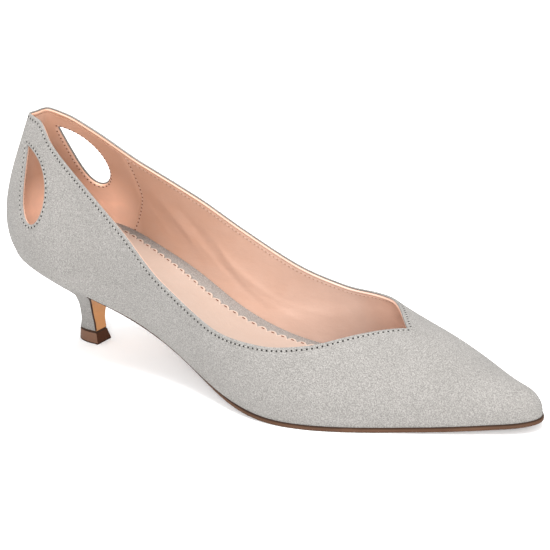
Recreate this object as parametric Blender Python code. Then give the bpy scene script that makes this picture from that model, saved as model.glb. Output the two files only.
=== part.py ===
"""A pointed kitten heel pump for the right foot, standing on a floor at z = 0.

Metres, +X from the heel to the toe, +Y towards the inner (medial) side, +Z up.
Every piece is cut from one last surface. Four rails run round the shoe: the feather line, where the upper
meets the sole, the low and high rails that give the side walls their fullness, and the top of the last.
Across the wall a cubic Bezier joins them, and the collar trims the wall at a share of its height.
"""

import math
from collections import namedtuple

import bmesh
import bpy
import numpy as np

# Driving dimensions
LENGTH = 0.262  # back of the heel seat to the tip of the feather line
BALL_WIDTH = 0.073
HEEL_WIDTH = 0.057
SEAT_RISE = 0.0457  # heel seat above the bed of the forepart
BACK_HEIGHT = 0.064  # top of the last above the heel seat
VAMP_HEIGHT = 0.034  # ridge of the vamp above the bed, at the throat
TOE_HEIGHT = 0.0125
TOE_SPRING = 0.0031
VAMP_LENGTH = 0.0583  # tip of the toe back to the throat
WALL = 0.0018  # suede, stiffener and lining together
GAP = 0.0003  # between pieces that are glued to each other
SOLE_THICK = 0.002
SHANK_THICK = 0.0012
SHANK_END = 0.105  # where the sole starts to thicken, from the back
SOLE_START = 0.150  # where the sole has its full thickness
SOLE_EDGE = 0.0006  # how far the sole of the forepart stands out of the upper
SHANK_INSET = 0.0008  # how far the shank lies inside the upper
INSOLE_THICK = 0.002
SOCK_THICK = 0.0008
SOCK_INSET = 0.0042
SOCK_WAIST = 0.0025  # how much further in its edge lies at its waist
SOCK_WAIST_ALONG = 0.094  # middle of its waist, from the back
SOCK_WAIST_REACH = 0.030
TEAR_LENGTH = 0.0374
TEAR_WIDTH = 0.0165
TEAR_BOW = 0.0039  # how far a cut-out bows to the front between its two ends
TEAR_LEAN = math.radians(30.5)  # its tip leans to the back
TEAR_AROUND_OUTER = 0.034  # middle of a cut-out from the back seam, along the feather line
TEAR_AROUND_INNER = 0.031
TEAR_BELOW_OUTER = 0.0258  # middle of a cut-out below the collar's edge
TEAR_BELOW_INNER = 0.0224
BREAST_ALONG = 0.060  # front of the heel seat, from the back
BREAST_THICK = 0.0008
TOP_PIECE_FRONT = 0.0394  # from the back of the seat
TOP_PIECE_LENGTH = 0.0145
TOP_PIECE_WIDTH = 0.0089
TOP_PIECE_HEIGHT = 0.0062
TOP_PIECE_FLARE = 0.0012  # how far its foot stands out of its top
TOP_PIECE_STRAIGHT = 0.004  # straight stretch of its sides, behind the front
HEEL_TURN = math.radians(3.0)  # the stem turns a little to the outer side
STEM_OUT = 0.0012  # and stands a little to the outer side of the seat's middle

WIDTHS = {"heel": HEEL_WIDTH, "ball": BALL_WIDTH}
HEIGHTS = {"back": BACK_HEIGHT, "vamp": VAMP_HEIGHT, "toe": TOE_HEIGHT}
BED = SOLE_THICK + GAP  # feather line of the forepart above the floor
LATERAL, MEDIAL = -1, 1
TEAR_AROUND = {LATERAL: TEAR_AROUND_OUTER, MEDIAL: TEAR_AROUND_INNER}
TEAR_BELOW = {LATERAL: TEAR_BELOW_OUTER, MEDIAL: TEAR_BELOW_INNER}
FEATHER_RAIL, TOP_RAIL = 0, 3

# A section of the last. turn: the way it faces in plan, 180 is back, 90 is sideways, 0 is forward.
# along, top_along: shares of LENGTH.
# lateral, medial, low_out, high_out, top_half: shares of the named width.
# rise: share of SEAT_RISE. spring: share of TOE_SPRING. tall: share of the named height.
# low_up, high_down: shares of the section's own height.
# collar_lateral, collar_medial: where the collar cuts.
Section = namedtuple(
    "Section",
    "turn along width lateral medial rise spring height tall "
    "low_out low_up high_out high_down top_along top_half collar_lateral collar_medial",
)
SECTIONS = [Section(*row) for row in (
    (180, .002, "heel", .000, .000, 1.000, .00, "back", 1.00, .119, .30, .086, .30, .067, .000, .924, .924),
    (150, .015, "heel", .228, .228, .999, .00, "back", 1.00, .130, .30, .130, .30, .071, .088, .931, .922),
    (120, .052, "heel", .386, .386, .982, .00, "back", 1.01, .120, .30, .108, .30, .099, .130, .912, .874),
    (90, .115, "heel", .502, .500, .933, .00, "back", 1.05, .105, .30, .091, .30, .138, .150, .777, .759),
    (90, .210, "heel", .520, .492, .772, .00, "back", 1.16, .114, .30, .145, .25, .210, .150, .623, .553),
    (90, .305, "heel", .488, .432, .586, .00, "back", 1.26, .137, .30, .250, .20, .305, .150, .470, .440),
    (90, .401, "ball", .398, .288, .341, .00, "back", 1.32, .128, .30, .320, .15, .401, .080, .345, .388),
    (90, .496, "ball", .484, .320, .120, .00, "back", 1.21, .114, .32, .366, .08, .496, .027, .325, .375),
    (90, .592, "ball", .552, .396, .012, .00, "back", .95, .084, .35, .364, .03, .592, .000, .390, .415),
    (90, .668, "ball", .538, .464, .000, .00, "back", .71, .057, .40, .345, .00, .668, .000, .515, .535),
    (90, .744, "ball", .459, .484, .000, .04, "vamp", .99, .035, .45, .312, .00, .744, .000, 1.000, 1.00),
    (90, .821, "ball", .346, .418, .000, .14, "vamp", .80, .024, .50, .205, .00, .821, .000, 1.000, 1.00),
    (90, .897, "ball", .237, .292, .000, .42, "vamp", .53, .022, .55, .132, .00, .897, .000, 1.000, 1.00),
    (80, .950, "ball", .152, .172, .000, .68, "toe", 1.03, .020, .55, .096, .00, .945, .000, 1.000, 1.00),
    (45, .985, "ball", .085, .095, .000, .90, "toe", .93, .020, .55, .084, .00, .953, .000, 1.000, 1.00),
    (0, 1.000, "ball", .000, .000, .000, 1.00, "toe", .90, .020, .55, .090, .00, .956, .000, 1.000, 1.00),
)]

# The heel between its stem and its seat. up: share of its height.
# back, side, corner, front: how far the outline has gone from the stem's outline, at 0, to the seat's, at 1.
# back and front are along the shoe, side and corner across it, for the sides and for the breast's corners.
HeelSection = namedtuple("HeelSection", "up back side corner front")
HEEL_SECTIONS = [HeelSection(*row) for row in (
    (0.00, 0.000, 0.000, 0.000, 0.00),
    (0.12, -0.055, -0.020, 0.000, 0.00),
    (0.25, -0.055, -0.010, 0.025, 0.01),
    (0.38, 0.033, 0.035, 0.070, 0.05),
    (0.50, 0.180, 0.180, 0.150, 0.13),
    (0.61, 0.370, 0.370, 0.265, 0.25),
    (0.71, 0.560, 0.560, 0.410, 0.39),
    (0.80, 0.745, 0.740, 0.580, 0.55),
    (0.88, 0.890, 0.885, 0.750, 0.72),
    (0.95, 0.980, 0.975, 0.900, 0.88),
    (1.00, 1.000, 1.000, 1.000, 1.00),
)]

STEPS_BETWEEN = 2  # mesh columns between two sections
WALL_STEPS = 10  # mesh rows from the feather line to the collar
TEAR_POINTS = 28
BREAST_POINTS = 5  # across the front of the heel
BACK_POINTS = 25  # round the back of the heel
BACK_BLEND = 0.35  # share of the way round where the heel's sides follow its front
BED_SAMPLES = 400  # along the feather line, for its height
CLOSE = 1e-9  # where a search along the shoe stops
WELD = 1e-6  # points closer than this are one


def clear_scene():
    for thing in list(bpy.data.objects):
        bpy.data.objects.remove(thing, do_unlink=True)


def section_controls(section, side):
    """Feather, low, high and top point of one section, on one side."""
    turn = math.radians(section.turn)
    facing = np.array([math.cos(turn), side * math.sin(turn), 0.0])
    width = WIDTHS[section.width]
    half = (section.lateral if side == LATERAL else section.medial) * width
    tall = section.tall * HEIGHTS[section.height]
    floor = BED + section.rise * SEAT_RISE + section.spring * TOE_SPRING
    feather = np.array([section.along * LENGTH, side * half, floor])
    top = np.array([section.top_along * LENGTH, side * section.top_half * width, floor + tall])
    up = np.array([0.0, 0.0, tall])
    low = feather + facing * section.low_out * width + up * section.low_up
    high = top + facing * section.high_out * width - up * section.high_down
    return [feather, low, high, top]


def periodic_spline(knots, period, points):
    """A smooth closed cubic spline through points, as a function of the distance round the loop."""
    count = len(knots)
    spans = np.diff(np.append(knots, period))
    matrix = np.zeros((count, count))
    rhs = np.zeros_like(points)
    for i in range(count):
        before, after = spans[i - 1], spans[i]
        matrix[i, i - 1] += before
        matrix[i, i] += 2 * (before + after)
        matrix[i, (i + 1) % count] += after
        forward = (points[(i + 1) % count] - points[i]) / after
        backward = (points[i] - points[i - 1]) / before
        rhs[i] = 6 * (forward - backward)
    bends = np.linalg.solve(matrix, rhs.reshape(count, -1)).reshape(points.shape)

    def at(around):
        around = around % period
        i = int(np.searchsorted(knots, around, side="right")) - 1
        j = (i + 1) % count
        b = (around - knots[i]) / spans[i]
        a = 1 - b
        curve = (a**3 - a) * bends[i] + (b**3 - b) * bends[j]
        return a * points[i] + b * points[j] + curve * spans[i] ** 2 / 6

    return at


def monotone_curve(knots, values):
    """A smooth curve through values that doesn't swing past them."""
    spans = np.diff(knots)
    secants = np.diff(values) / spans
    slopes = np.empty(len(values))
    slopes[0] = secants[0]
    slopes[-1] = secants[-1]
    for i in range(1, len(values) - 1):
        left, right = secants[i - 1], secants[i]
        slopes[i] = 2 * left * right / (left + right) if left * right > 0 else 0.0

    def at(where):
        where = min(max(where, knots[0]), knots[-1])
        i = min(int(np.searchsorted(knots, where, side="right")) - 1, len(spans) - 1)
        t = (where - knots[i]) / spans[i]
        start = (1 + 2 * t) * (1 - t) ** 2 * values[i] + t * (1 - t) ** 2 * spans[i] * slopes[i]
        end = t * t * (3 - 2 * t) * values[i + 1] + t * t * (t - 1) * spans[i] * slopes[i + 1]
        return start + end

    return at


class Last:
    """The surface of the last. around is a distance from the back, up to half at the tip, the same for the
    lateral and the medial side; share goes from 0 at the feather line to 1 at the top."""

    def __init__(self):
        lateral = [section_controls(section, LATERAL) for section in SECTIONS]
        medial = [section_controls(section, MEDIAL) for section in SECTIONS]
        steps = []
        for i in range(len(SECTIONS) - 1):
            step = np.linalg.norm(lateral[i + 1][0] - lateral[i][0])
            step += np.linalg.norm(medial[i + 1][0] - medial[i][0])
            steps.append(step / 2)
        steps = np.array(steps + steps[::-1])
        self.knots = np.concatenate([[0.0], np.cumsum(steps)])
        self.half = self.knots[len(SECTIONS) - 1]
        controls = np.array(lateral + medial[-2:0:-1])
        self.rails = periodic_spline(self.knots[:-1], self.knots[-1], controls)
        self.throat = self.around_where(TOP_RAIL, LENGTH - VAMP_LENGTH)
        self.collar = {side: self.collar_curve(side) for side in (LATERAL, MEDIAL)}

    def controls(self, around, side):
        points = self.rails(around if side == LATERAL else self.knots[-1] - around).copy()
        points[0, 2] = max(points[0, 2], BED)
        points[3, 1] = side * max(side * points[3, 1], 0.0)
        return points

    def around_where(self, rail, along):
        """Distance from the back at which a rail of the outer side is so far along."""
        low, high = 0.0, self.half
        while high - low > CLOSE:
            middle = (low + high) / 2
            if self.controls(middle, LATERAL)[rail, 0] < along:
                low = middle
            else:
                high = middle
        return (low + high) / 2

    def collar_curve(self, side):
        knots, values = [], []
        for knot, section in zip(self.knots, SECTIONS):
            share = section.collar_lateral if side == LATERAL else section.collar_medial
            if share < 1 and knot < self.throat:
                knots.append(knot)
                values.append(share)
        return monotone_curve(np.array(knots + [self.throat]), np.array(values + [1.0]))

    def collar_share(self, around, side):
        return self.collar[side](around) if around < self.throat else 1.0

    def point(self, around, side, share):
        feather, low, high, top = self.controls(around, side)
        rest = 1 - share
        return (rest**3 * feather + 3 * rest * rest * share * low
                + 3 * rest * share * share * high + share**3 * top)

    def slopes(self, around, side, share):
        """Change of the point per metre round the shoe, and per share of height."""
        step = 0.0005
        before = self.point(max(around - step, 0.0), side, share)
        after = self.point(around + step, side, share)
        round_shoe = (after - before) / (around + step - max(around - step, 0.0))
        lift = 0.01
        above = self.point(around, side, share + lift)
        below = self.point(around, side, share - lift)
        return round_shoe, (above - below) / (2 * lift)

    def outward(self, around, side, share):
        round_shoe, up_wall = self.slopes(around, side, share)
        normal = side * np.cross(up_wall, round_shoe)
        return normal / np.linalg.norm(normal)

    def feather(self, around, side):
        return self.controls(around, side)[0]

    def bed_height(self, along):
        """Height of the feather line at a distance from the back."""
        return float(np.interp(along, self.bed_along, self.bed_up))

    def sample_bed(self):
        samples = np.array([self.feather(a, LATERAL) for a in np.linspace(0, self.half, BED_SAMPLES)])
        self.bed_along = samples[:, 0]
        self.bed_up = samples[:, 2]

    def columns(self, start=0.0):
        """Distances round the shoe for the mesh columns, from start to the tip, with the throat as one."""
        wanted = [start]
        for i in range(len(SECTIONS) - 1):
            for k in range(STEPS_BETWEEN):
                wanted.append(self.knots[i] + (self.knots[i + 1] - self.knots[i]) * k / STEPS_BETWEEN)
        wanted.append(self.half)
        near = 0.0025
        kept = [a for a in wanted if a > start + near and abs(a - self.throat) > near]
        return sorted([start, self.throat] + kept)


def mesh_object(name, points, faces, material, smooth_angle=None):
    mesh = bpy.data.meshes.new(name)
    mesh.from_pydata([tuple(float(c) for c in point) for point in points], [], faces)
    shape = bmesh.new()
    shape.from_mesh(mesh)
    bmesh.ops.remove_doubles(shape, verts=shape.verts, dist=0.00002)
    shape.to_mesh(mesh)
    shape.free()
    if smooth_angle is not None:
        mesh.shade_smooth()
        mesh.set_sharp_from_angle(angle=smooth_angle)
    mesh.materials.append(material)
    thing = bpy.data.objects.new(name, mesh)
    bpy.context.collection.objects.link(thing)
    return thing


def plain_material(name, colour, roughness):
    material = bpy.data.materials.new(name)
    material.use_nodes = True
    shader = material.node_tree.nodes["Principled BSDF"]
    shader.inputs["Base Color"].default_value = (*colour, 1.0)
    shader.inputs["Roughness"].default_value = roughness
    shader.inputs["Metallic"].default_value = 0.0
    return material


def make_upper(last, material):
    """The wall of the last from the feather line to the collar, given its thickness and cut out."""
    columns = last.columns()
    points, index = [], {}
    for side in (LATERAL, MEDIAL):
        for i, around in enumerate(columns):
            collar = last.collar_share(around, side)
            on_ridge = around >= last.throat
            for k in range(WALL_STEPS + 1):
                key = (i, k, side)
                on_middle = around == 0.0 or around == last.half or (k == WALL_STEPS and on_ridge)
                if side == MEDIAL and on_middle:
                    index[key] = index[(i, k, LATERAL)]
                    continue
                index[key] = len(points)
                points.append(last.point(around, side, collar * k / WALL_STEPS))
    faces = []
    for side in (LATERAL, MEDIAL):
        for i in range(len(columns) - 1):
            for k in range(WALL_STEPS):
                face = [index[(i, k, side)], index[(i + 1, k, side)],
                        index[(i + 1, k + 1, side)], index[(i, k + 1, side)]]
                faces.append(face if side == LATERAL else face[::-1])
    upper = mesh_object("upper", points, faces, material, math.radians(50))
    wall = upper.modifiers.new("wall", "SOLIDIFY")
    wall.thickness = WALL
    wall.offset = -1.0
    for side in (LATERAL, MEDIAL):
        cut = upper.modifiers.new("tear", "BOOLEAN")
        cut.operation = "DIFFERENCE"
        cut.solver = "EXACT"
        cut.object = tear_cutter(last, side, material)
    return upper


def tear_outline():
    """A teardrop, tip up, as offsets round the shoe and up the wall from its middle."""
    widest = 4 / (3 * math.sqrt(3))  # largest value of sin(t) sin(t / 2)
    outline = []
    for i in range(TEAR_POINTS):
        t = 2 * math.pi * i / TEAR_POINTS
        across = TEAR_WIDTH / 2 * math.sin(t) * math.sin(t / 2) / widest + TEAR_BOW * math.sin(t) ** 2
        up = TEAR_LENGTH / 2 * math.cos(t)
        outline.append((across * math.cos(TEAR_LEAN) - up * math.sin(TEAR_LEAN),
                        across * math.sin(TEAR_LEAN) + up * math.cos(TEAR_LEAN)))
    return outline


def tear_cutter(last, side, material):
    """A teardrop prism that follows the wall and stands out of it on both faces."""
    proud = 2 * WALL
    middle = TEAR_AROUND[side]
    collar = last.collar_share(middle, side)
    round_shoe, up_wall = last.slopes(middle, side, collar / 2)
    reach = np.linalg.norm(round_shoe)
    rise = np.linalg.norm(up_wall)
    outer, inner = [], []
    for across, up in tear_outline():
        around = middle + across / reach
        share = collar + (up - TEAR_BELOW[side]) / rise
        point = last.point(around, side, share)
        outward = last.outward(around, side, share)
        outer.append(point + outward * proud)
        inner.append(point - outward * (WALL + proud))
    count = len(outer)
    points = outer + inner + [sum(outer) / count, sum(inner) / count]
    faces = []
    for i in range(count):
        j = (i + 1) % count
        faces.append((i, j, count + j, count + i))
        faces.append((j, i, 2 * count))
        faces.append((count + i, count + j, 2 * count + 1))
    cutter = mesh_object("tear_cutter", points, faces, material)
    face_outward(cutter)
    cutter.hide_render = True
    cutter.display_type = "WIRE"
    return cutter


def face_outward(thing):
    shape = bmesh.new()
    shape.from_mesh(thing.data)
    bmesh.ops.recalc_face_normals(shape, faces=shape.faces)
    shape.to_mesh(thing.data)
    shape.free()


def weld(thing):
    """Join points that lie on each other."""
    shape = bmesh.new()
    shape.from_mesh(thing.data)
    bmesh.ops.remove_doubles(shape, verts=shape.verts, dist=WELD)
    shape.to_mesh(thing.data)
    shape.free()


def plan_outline(last, inset, columns):
    """The feather line moved inwards in plan, as lateral and medial points of the same columns.

    inset gives how far from the way along."""
    rows = {}
    for side in (LATERAL, MEDIAL):
        rows[side] = []
        for around in columns:
            step = 0.0004
            before = last.feather(max(around - step, 0.0), side)
            after = last.feather(min(around + step, last.half), side)
            if around == 0.0:
                inward = np.array([1.0, 0.0])
            elif around == last.half:
                inward = np.array([-1.0, 0.0])
            else:
                along = (after - before)[:2] / np.linalg.norm((after - before)[:2])
                inward = side * np.array([along[1], -along[0]])
            point = last.feather(around, side)[:2]
            rows[side].append(point + inward * inset(point[0]))
    return rows


def make_plate(last, name, inset, columns, bottom, top, material):
    """A thin plate on the bed of the shoe.

    inset, bottom and top give its outline and its faces' heights from the way along."""
    rows = plan_outline(last, inset, columns)
    points, index = [], {}
    for level, height in (("bottom", bottom), ("top", top)):
        for side in (LATERAL, MEDIAL):
            for i, (x, y) in enumerate(rows[side]):
                index[(level, side, i)] = len(points)
                points.append((x, y, height(x)))
    faces = []
    count = len(columns)
    for i in range(count - 1):
        for level in ("bottom", "top"):
            face = [index[(level, LATERAL, i)], index[(level, LATERAL, i + 1)],
                    index[(level, MEDIAL, i + 1)], index[(level, MEDIAL, i)]]
            faces.append(face if level == "top" else face[::-1])
        for side in (LATERAL, MEDIAL):
            face = [index[("bottom", side, i)], index[("bottom", side, i + 1)],
                    index[("top", side, i + 1)], index[("top", side, i)]]
            faces.append(face if side == LATERAL else face[::-1])
    for i, turned in ((0, False), (count - 1, True)):
        face = [index[("bottom", MEDIAL, i)], index[("bottom", LATERAL, i)],
                index[("top", LATERAL, i)], index[("top", MEDIAL, i)]]
        faces.append(face[::-1] if turned else face)
    faces = [face for face in faces if not collapsed(face, points)]
    plate = mesh_object(name, points, faces, material, math.radians(40))
    return plate


def collapsed(face, points):
    """True for the end face of a plate whose two sides meet in one point."""
    places = {tuple(round(c, 6) for c in points[i]) for i in face}
    return len(places) < 3


def smooth_step(value, low, high):
    t = min(max((value - low) / (high - low), 0.0), 1.0)
    return t * t * (3 - 2 * t)


def make_outsole(last, material):
    def inset(x):
        return SHANK_INSET - (SHANK_INSET + SOLE_EDGE) * smooth_step(x, SHANK_END, SOLE_START)

    def top(x):
        return last.bed_height(x) - GAP

    def bottom(x):
        thick = SHANK_THICK + (SOLE_THICK - SHANK_THICK) * smooth_step(x, SHANK_END, SOLE_START)
        return max(top(x) - thick, 0.0)

    start = last.around_where(FEATHER_RAIL, BREAST_ALONG)
    return make_plate(last, "outsole", inset, last.columns(start), bottom, top, material)


def make_insole(last, material):
    def inset(x):
        return WALL + GAP

    def bottom(x):
        return last.bed_height(x)

    def top(x):
        return bottom(x) + INSOLE_THICK

    return make_plate(last, "insole", inset, last.columns(), bottom, top, material)


def make_sock(last, material):
    def inset(x):
        waist = math.exp(-(((x - SOCK_WAIST_ALONG) / SOCK_WAIST_REACH) ** 2))
        return WALL + GAP + SOCK_INSET + SOCK_WAIST * waist

    def bottom(x):
        return last.bed_height(x) + INSOLE_THICK + GAP

    def top(x):
        return bottom(x) + SOCK_THICK

    return make_plate(last, "sock_lining", inset, last.columns(), bottom, top, material)


def stem_outline(grow):
    """The heel's foot in plan: flat at the front, round at the back. Front points first, medial to lateral,
    then round the back from lateral to medial."""
    front = TOP_PIECE_FRONT + grow
    back = TOP_PIECE_FRONT - TOP_PIECE_LENGTH - grow
    half = TOP_PIECE_WIDTH / 2 + grow
    bend = front - TOP_PIECE_STRAIGHT
    outline = [(front, half - 2 * half * i / (BREAST_POINTS - 1)) for i in range(BREAST_POINTS)]
    for i in range(BACK_POINTS):
        t = math.pi * i / (BACK_POINTS - 1)
        x = bend - (bend - back) * math.sin(t)
        y = -half * math.cos(t)
        outline.append((x, y))
    middle = (front + back) / 2
    turned = []
    for x, y in outline:
        turned.append((middle + (x - middle) * math.cos(HEEL_TURN) + y * math.sin(HEEL_TURN),
                       y * math.cos(HEEL_TURN) - (x - middle) * math.sin(HEEL_TURN) - STEM_OUT))
    return turned


def seat_outline(last):
    """The heel's top in plan, in the same order as stem_outline."""
    front = last.around_where(FEATHER_RAIL, BREAST_ALONG - GAP)
    lateral = last.feather(front, LATERAL)
    medial = last.feather(front, MEDIAL)
    outline = []
    for i in range(BREAST_POINTS):
        t = i / (BREAST_POINTS - 1)
        point = medial + (lateral - medial) * t
        outline.append((point[0], point[1]))
    for i in range(BACK_POINTS):
        t = 2 * i / (BACK_POINTS - 1) - 1
        point = last.feather(abs(t) * front, LATERAL if t < 0 else MEDIAL)
        outline.append((point[0], point[1]))
    return outline


def heel_ring(last, up):
    """The heel's outline at a share of the way from the stem's foot to the seat."""
    ups = [section.up for section in HEEL_SECTIONS]
    back = np.interp(up, ups, [section.back for section in HEEL_SECTIONS])
    side = np.interp(up, ups, [section.side for section in HEEL_SECTIONS])
    corner = np.interp(up, ups, [section.corner for section in HEEL_SECTIONS])
    front = np.interp(up, ups, [section.front for section in HEEL_SECTIONS])
    foot = TOP_PIECE_HEIGHT + GAP
    ring = []
    for i, ((x0, y0), (x1, y1)) in enumerate(zip(stem_outline(-TOP_PIECE_FLARE), seat_outline(last))):
        behind = 0.0
        if i >= BREAST_POINTS:
            t = math.sin(math.pi * (i - BREAST_POINTS) / (BACK_POINTS - 1))
            behind = smooth_step(t, 0.0, BACK_BLEND)
        forward = front + (back - front) * behind
        sideways = corner + (side - corner) * behind
        seat = last.bed_height(x1) - GAP
        ring.append((x0 + (x1 - x0) * forward, y0 + (y1 - y0) * sideways, foot + up * (seat - foot)))
    return ring


def make_heel(last, material):
    rings = [heel_ring(last, section.up) for section in HEEL_SECTIONS]
    count = len(rings[0])
    points = [point for ring in rings for point in ring]
    faces = []
    for r in range(len(rings) - 1):
        for i in range(count):
            j = (i + 1) % count
            faces.append((r * count + j, r * count + i, (r + 1) * count + i, (r + 1) * count + j))
    faces.append(tuple(range(count)))
    faces.extend(seat_faces((len(rings) - 1) * count))
    heel = mesh_object("heel", points, faces, material, math.radians(40))
    weld(heel)  # at the seat the sides start at the breast's own corners
    face_outward(heel)
    return heel


def seat_faces(first):
    """Strips across the curved seat, from the breast to the back."""
    back = [first + BREAST_POINTS + i for i in range(BACK_POINTS)]
    faces = [[first + i for i in range(BREAST_POINTS)] + [back[1], back[-2]]]
    middle = BACK_POINTS // 2
    for i in range(1, middle):
        lateral, next_lateral = back[i], back[i + 1]
        medial, next_medial = back[-1 - i], back[-2 - i]
        faces.append([lateral, next_lateral, next_medial, medial])
    faces[-1] = [back[middle - 1], back[middle], back[middle + 1]]
    return faces


def make_top_piece(material):
    foot = stem_outline(0.0)
    top = stem_outline(-TOP_PIECE_FLARE)
    count = len(foot)
    points = [(x, y, 0.0) for x, y in foot] + [(x, y, TOP_PIECE_HEIGHT) for x, y in top]
    faces = [tuple(range(count)), tuple(range(2 * count - 1, count - 1, -1))]
    for i in range(count):
        j = (i + 1) % count
        faces.append((i, j, count + j, count + i))
    piece = mesh_object("top_piece", points, faces, material, math.radians(40))
    face_outward(piece)
    return piece


def make_breast_cover(last, material):
    """A thin skin on the front of the heel, from the outsole down to the top piece."""
    foot = TOP_PIECE_HEIGHT + GAP
    seat = last.bed_height(BREAST_ALONG) - GAP
    under_sole = last.bed_height(BREAST_ALONG + GAP + BREAST_THICK) - SHANK_THICK - 2 * GAP
    reach = (under_sole - foot) / (seat - foot)
    rings = [heel_ring(last, section.up * reach) for section in HEEL_SECTIONS]
    points, faces = [], []
    for ring in rings:
        front = ring[:BREAST_POINTS]
        for offset in (GAP, GAP + BREAST_THICK):
            for x, y, z in front:
                points.append((x + offset, y, z))
    row = 2 * BREAST_POINTS
    last_row = len(rings) - 1
    for r in range(last_row):
        for i in range(BREAST_POINTS - 1):
            for layer in (0, BREAST_POINTS):
                a = r * row + layer + i
                faces.append((a, a + 1, a + 1 + row, a + row))
        for edge in (0, BREAST_POINTS - 1):
            a = r * row + edge
            faces.append((a, a + BREAST_POINTS, a + BREAST_POINTS + row, a + row))
    for r in (0, last_row):
        for i in range(BREAST_POINTS - 1):
            a = r * row + i
            faces.append((a, a + 1, a + 1 + BREAST_POINTS, a + BREAST_POINTS))
    cover = mesh_object("breast_cover", points, faces, material, math.radians(40))
    face_outward(cover)
    return cover


def centre_on_origin(pieces):
    """Parent every piece to an empty that brings the middle of the shoe's box to x = y = 0."""
    bpy.context.view_layer.update()
    graph = bpy.context.evaluated_depsgraph_get()
    corners = []
    for piece in pieces:
        evaluated = piece.evaluated_get(graph)
        corners.extend(evaluated.matrix_world @ vertex.co for vertex in evaluated.data.vertices)
    lows = [min(corner[axis] for corner in corners) for axis in range(3)]
    highs = [max(corner[axis] for corner in corners) for axis in range(3)]
    stand = bpy.data.objects.new("stand", None)
    bpy.context.collection.objects.link(stand)
    stand.location = (-(lows[0] + highs[0]) / 2, -(lows[1] + highs[1]) / 2, -lows[2])
    for thing in list(bpy.data.objects):
        if thing is not stand:
            thing.parent = stand
    bpy.context.view_layer.update()


def main():
    clear_scene()
    suede = plain_material("suede", (0.52, 0.50, 0.47), 0.9)
    tan_leather = plain_material("tan_leather", (0.72, 0.42, 0.2), 0.45)
    sole_leather = plain_material("sole_leather", (0.3, 0.2, 0.15), 0.5)
    rubber = plain_material("rubber", (0.16, 0.09, 0.07), 0.5)
    board = plain_material("board", (0.5, 0.47, 0.44), 0.85)
    lining = plain_material("lining", (0.85, 0.62, 0.5), 0.5)
    last = Last()
    last.sample_bed()
    centre_on_origin([
        make_upper(last, suede),
        make_outsole(last, sole_leather),
        make_heel(last, suede),
        make_breast_cover(last, tan_leather),
        make_top_piece(rubber),
        make_insole(last, board),
        make_sock(last, lining),
    ])


main()
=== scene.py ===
"""The looks of the kitten heel pump: suede, lining, sock, sole, heel and stitching.

Lengths are metres. Every piece is worked out in the last's own frame, with x from the back of the heel seat
to the toe, y towards the inner side and z up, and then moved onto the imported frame. A place on the wall is
given by around, a distance from the back that is negative on the outer side, and share, from the feather
line to the top of the last.
"""

import math
from collections import namedtuple

import bmesh
import bpy
import numpy as np
from mathutils import Matrix, Vector
from mathutils.kdtree import KDTree


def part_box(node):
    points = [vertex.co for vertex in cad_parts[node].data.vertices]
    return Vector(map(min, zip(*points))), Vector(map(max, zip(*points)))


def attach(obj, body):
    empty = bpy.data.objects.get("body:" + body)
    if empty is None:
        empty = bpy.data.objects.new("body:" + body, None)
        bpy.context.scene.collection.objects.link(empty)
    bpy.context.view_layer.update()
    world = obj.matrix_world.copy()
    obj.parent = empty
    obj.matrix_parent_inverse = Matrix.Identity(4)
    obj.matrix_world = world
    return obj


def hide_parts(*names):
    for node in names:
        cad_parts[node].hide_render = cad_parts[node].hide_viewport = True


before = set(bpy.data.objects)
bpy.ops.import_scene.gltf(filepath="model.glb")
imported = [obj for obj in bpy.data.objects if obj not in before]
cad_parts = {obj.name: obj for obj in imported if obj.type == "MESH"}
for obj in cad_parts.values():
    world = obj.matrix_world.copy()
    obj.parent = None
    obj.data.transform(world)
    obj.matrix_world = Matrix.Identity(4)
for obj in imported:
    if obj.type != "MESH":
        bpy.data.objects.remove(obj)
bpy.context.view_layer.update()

# The part's own sizes
LENGTH = 0.262
BALL_WIDTH = 0.073
HEEL_WIDTH = 0.057
SEAT_RISE = 0.0457
BACK_HEIGHT = 0.064
VAMP_HEIGHT = 0.034
TOE_HEIGHT = 0.0125
TOE_SPRING = 0.0031
VAMP_LENGTH = 0.0583
WALL = 0.0018
GAP = 0.0003
SOLE_THICK = 0.002
SHANK_THICK = 0.0012
SHANK_END = 0.105
SOLE_START = 0.150
SOLE_EDGE = 0.0006
SHANK_INSET = 0.0008
INSOLE_THICK = 0.002
SOCK_THICK = 0.0008
SOCK_INSET = 0.0042
SOCK_WAIST = 0.0025
SOCK_WAIST_ALONG = 0.094
SOCK_WAIST_REACH = 0.030
TEAR_LENGTH = 0.0374
TEAR_WIDTH = 0.0165
TEAR_BOW = 0.0039
TEAR_LEAN = math.radians(30.5)
TEAR_AROUND = {-1: 0.034, 1: 0.031}
TEAR_BELOW = {-1: 0.0258, 1: 0.0224}
BREAST_ALONG = 0.060
TOP_PIECE_FRONT = 0.0394
TOP_PIECE_LENGTH = 0.0145
TOP_PIECE_WIDTH = 0.0089
TOP_PIECE_HEIGHT = 0.0062
TOP_PIECE_FLARE = 0.0012
TOP_PIECE_STRAIGHT = 0.004
HEEL_TURN = math.radians(3.0)
STEM_OUT = 0.0012
BED = SOLE_THICK + GAP
WIDTHS = {"heel": HEEL_WIDTH, "ball": BALL_WIDTH}
HEIGHTS = {"back": BACK_HEIGHT, "vamp": VAMP_HEIGHT, "toe": TOE_HEIGHT}

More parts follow.
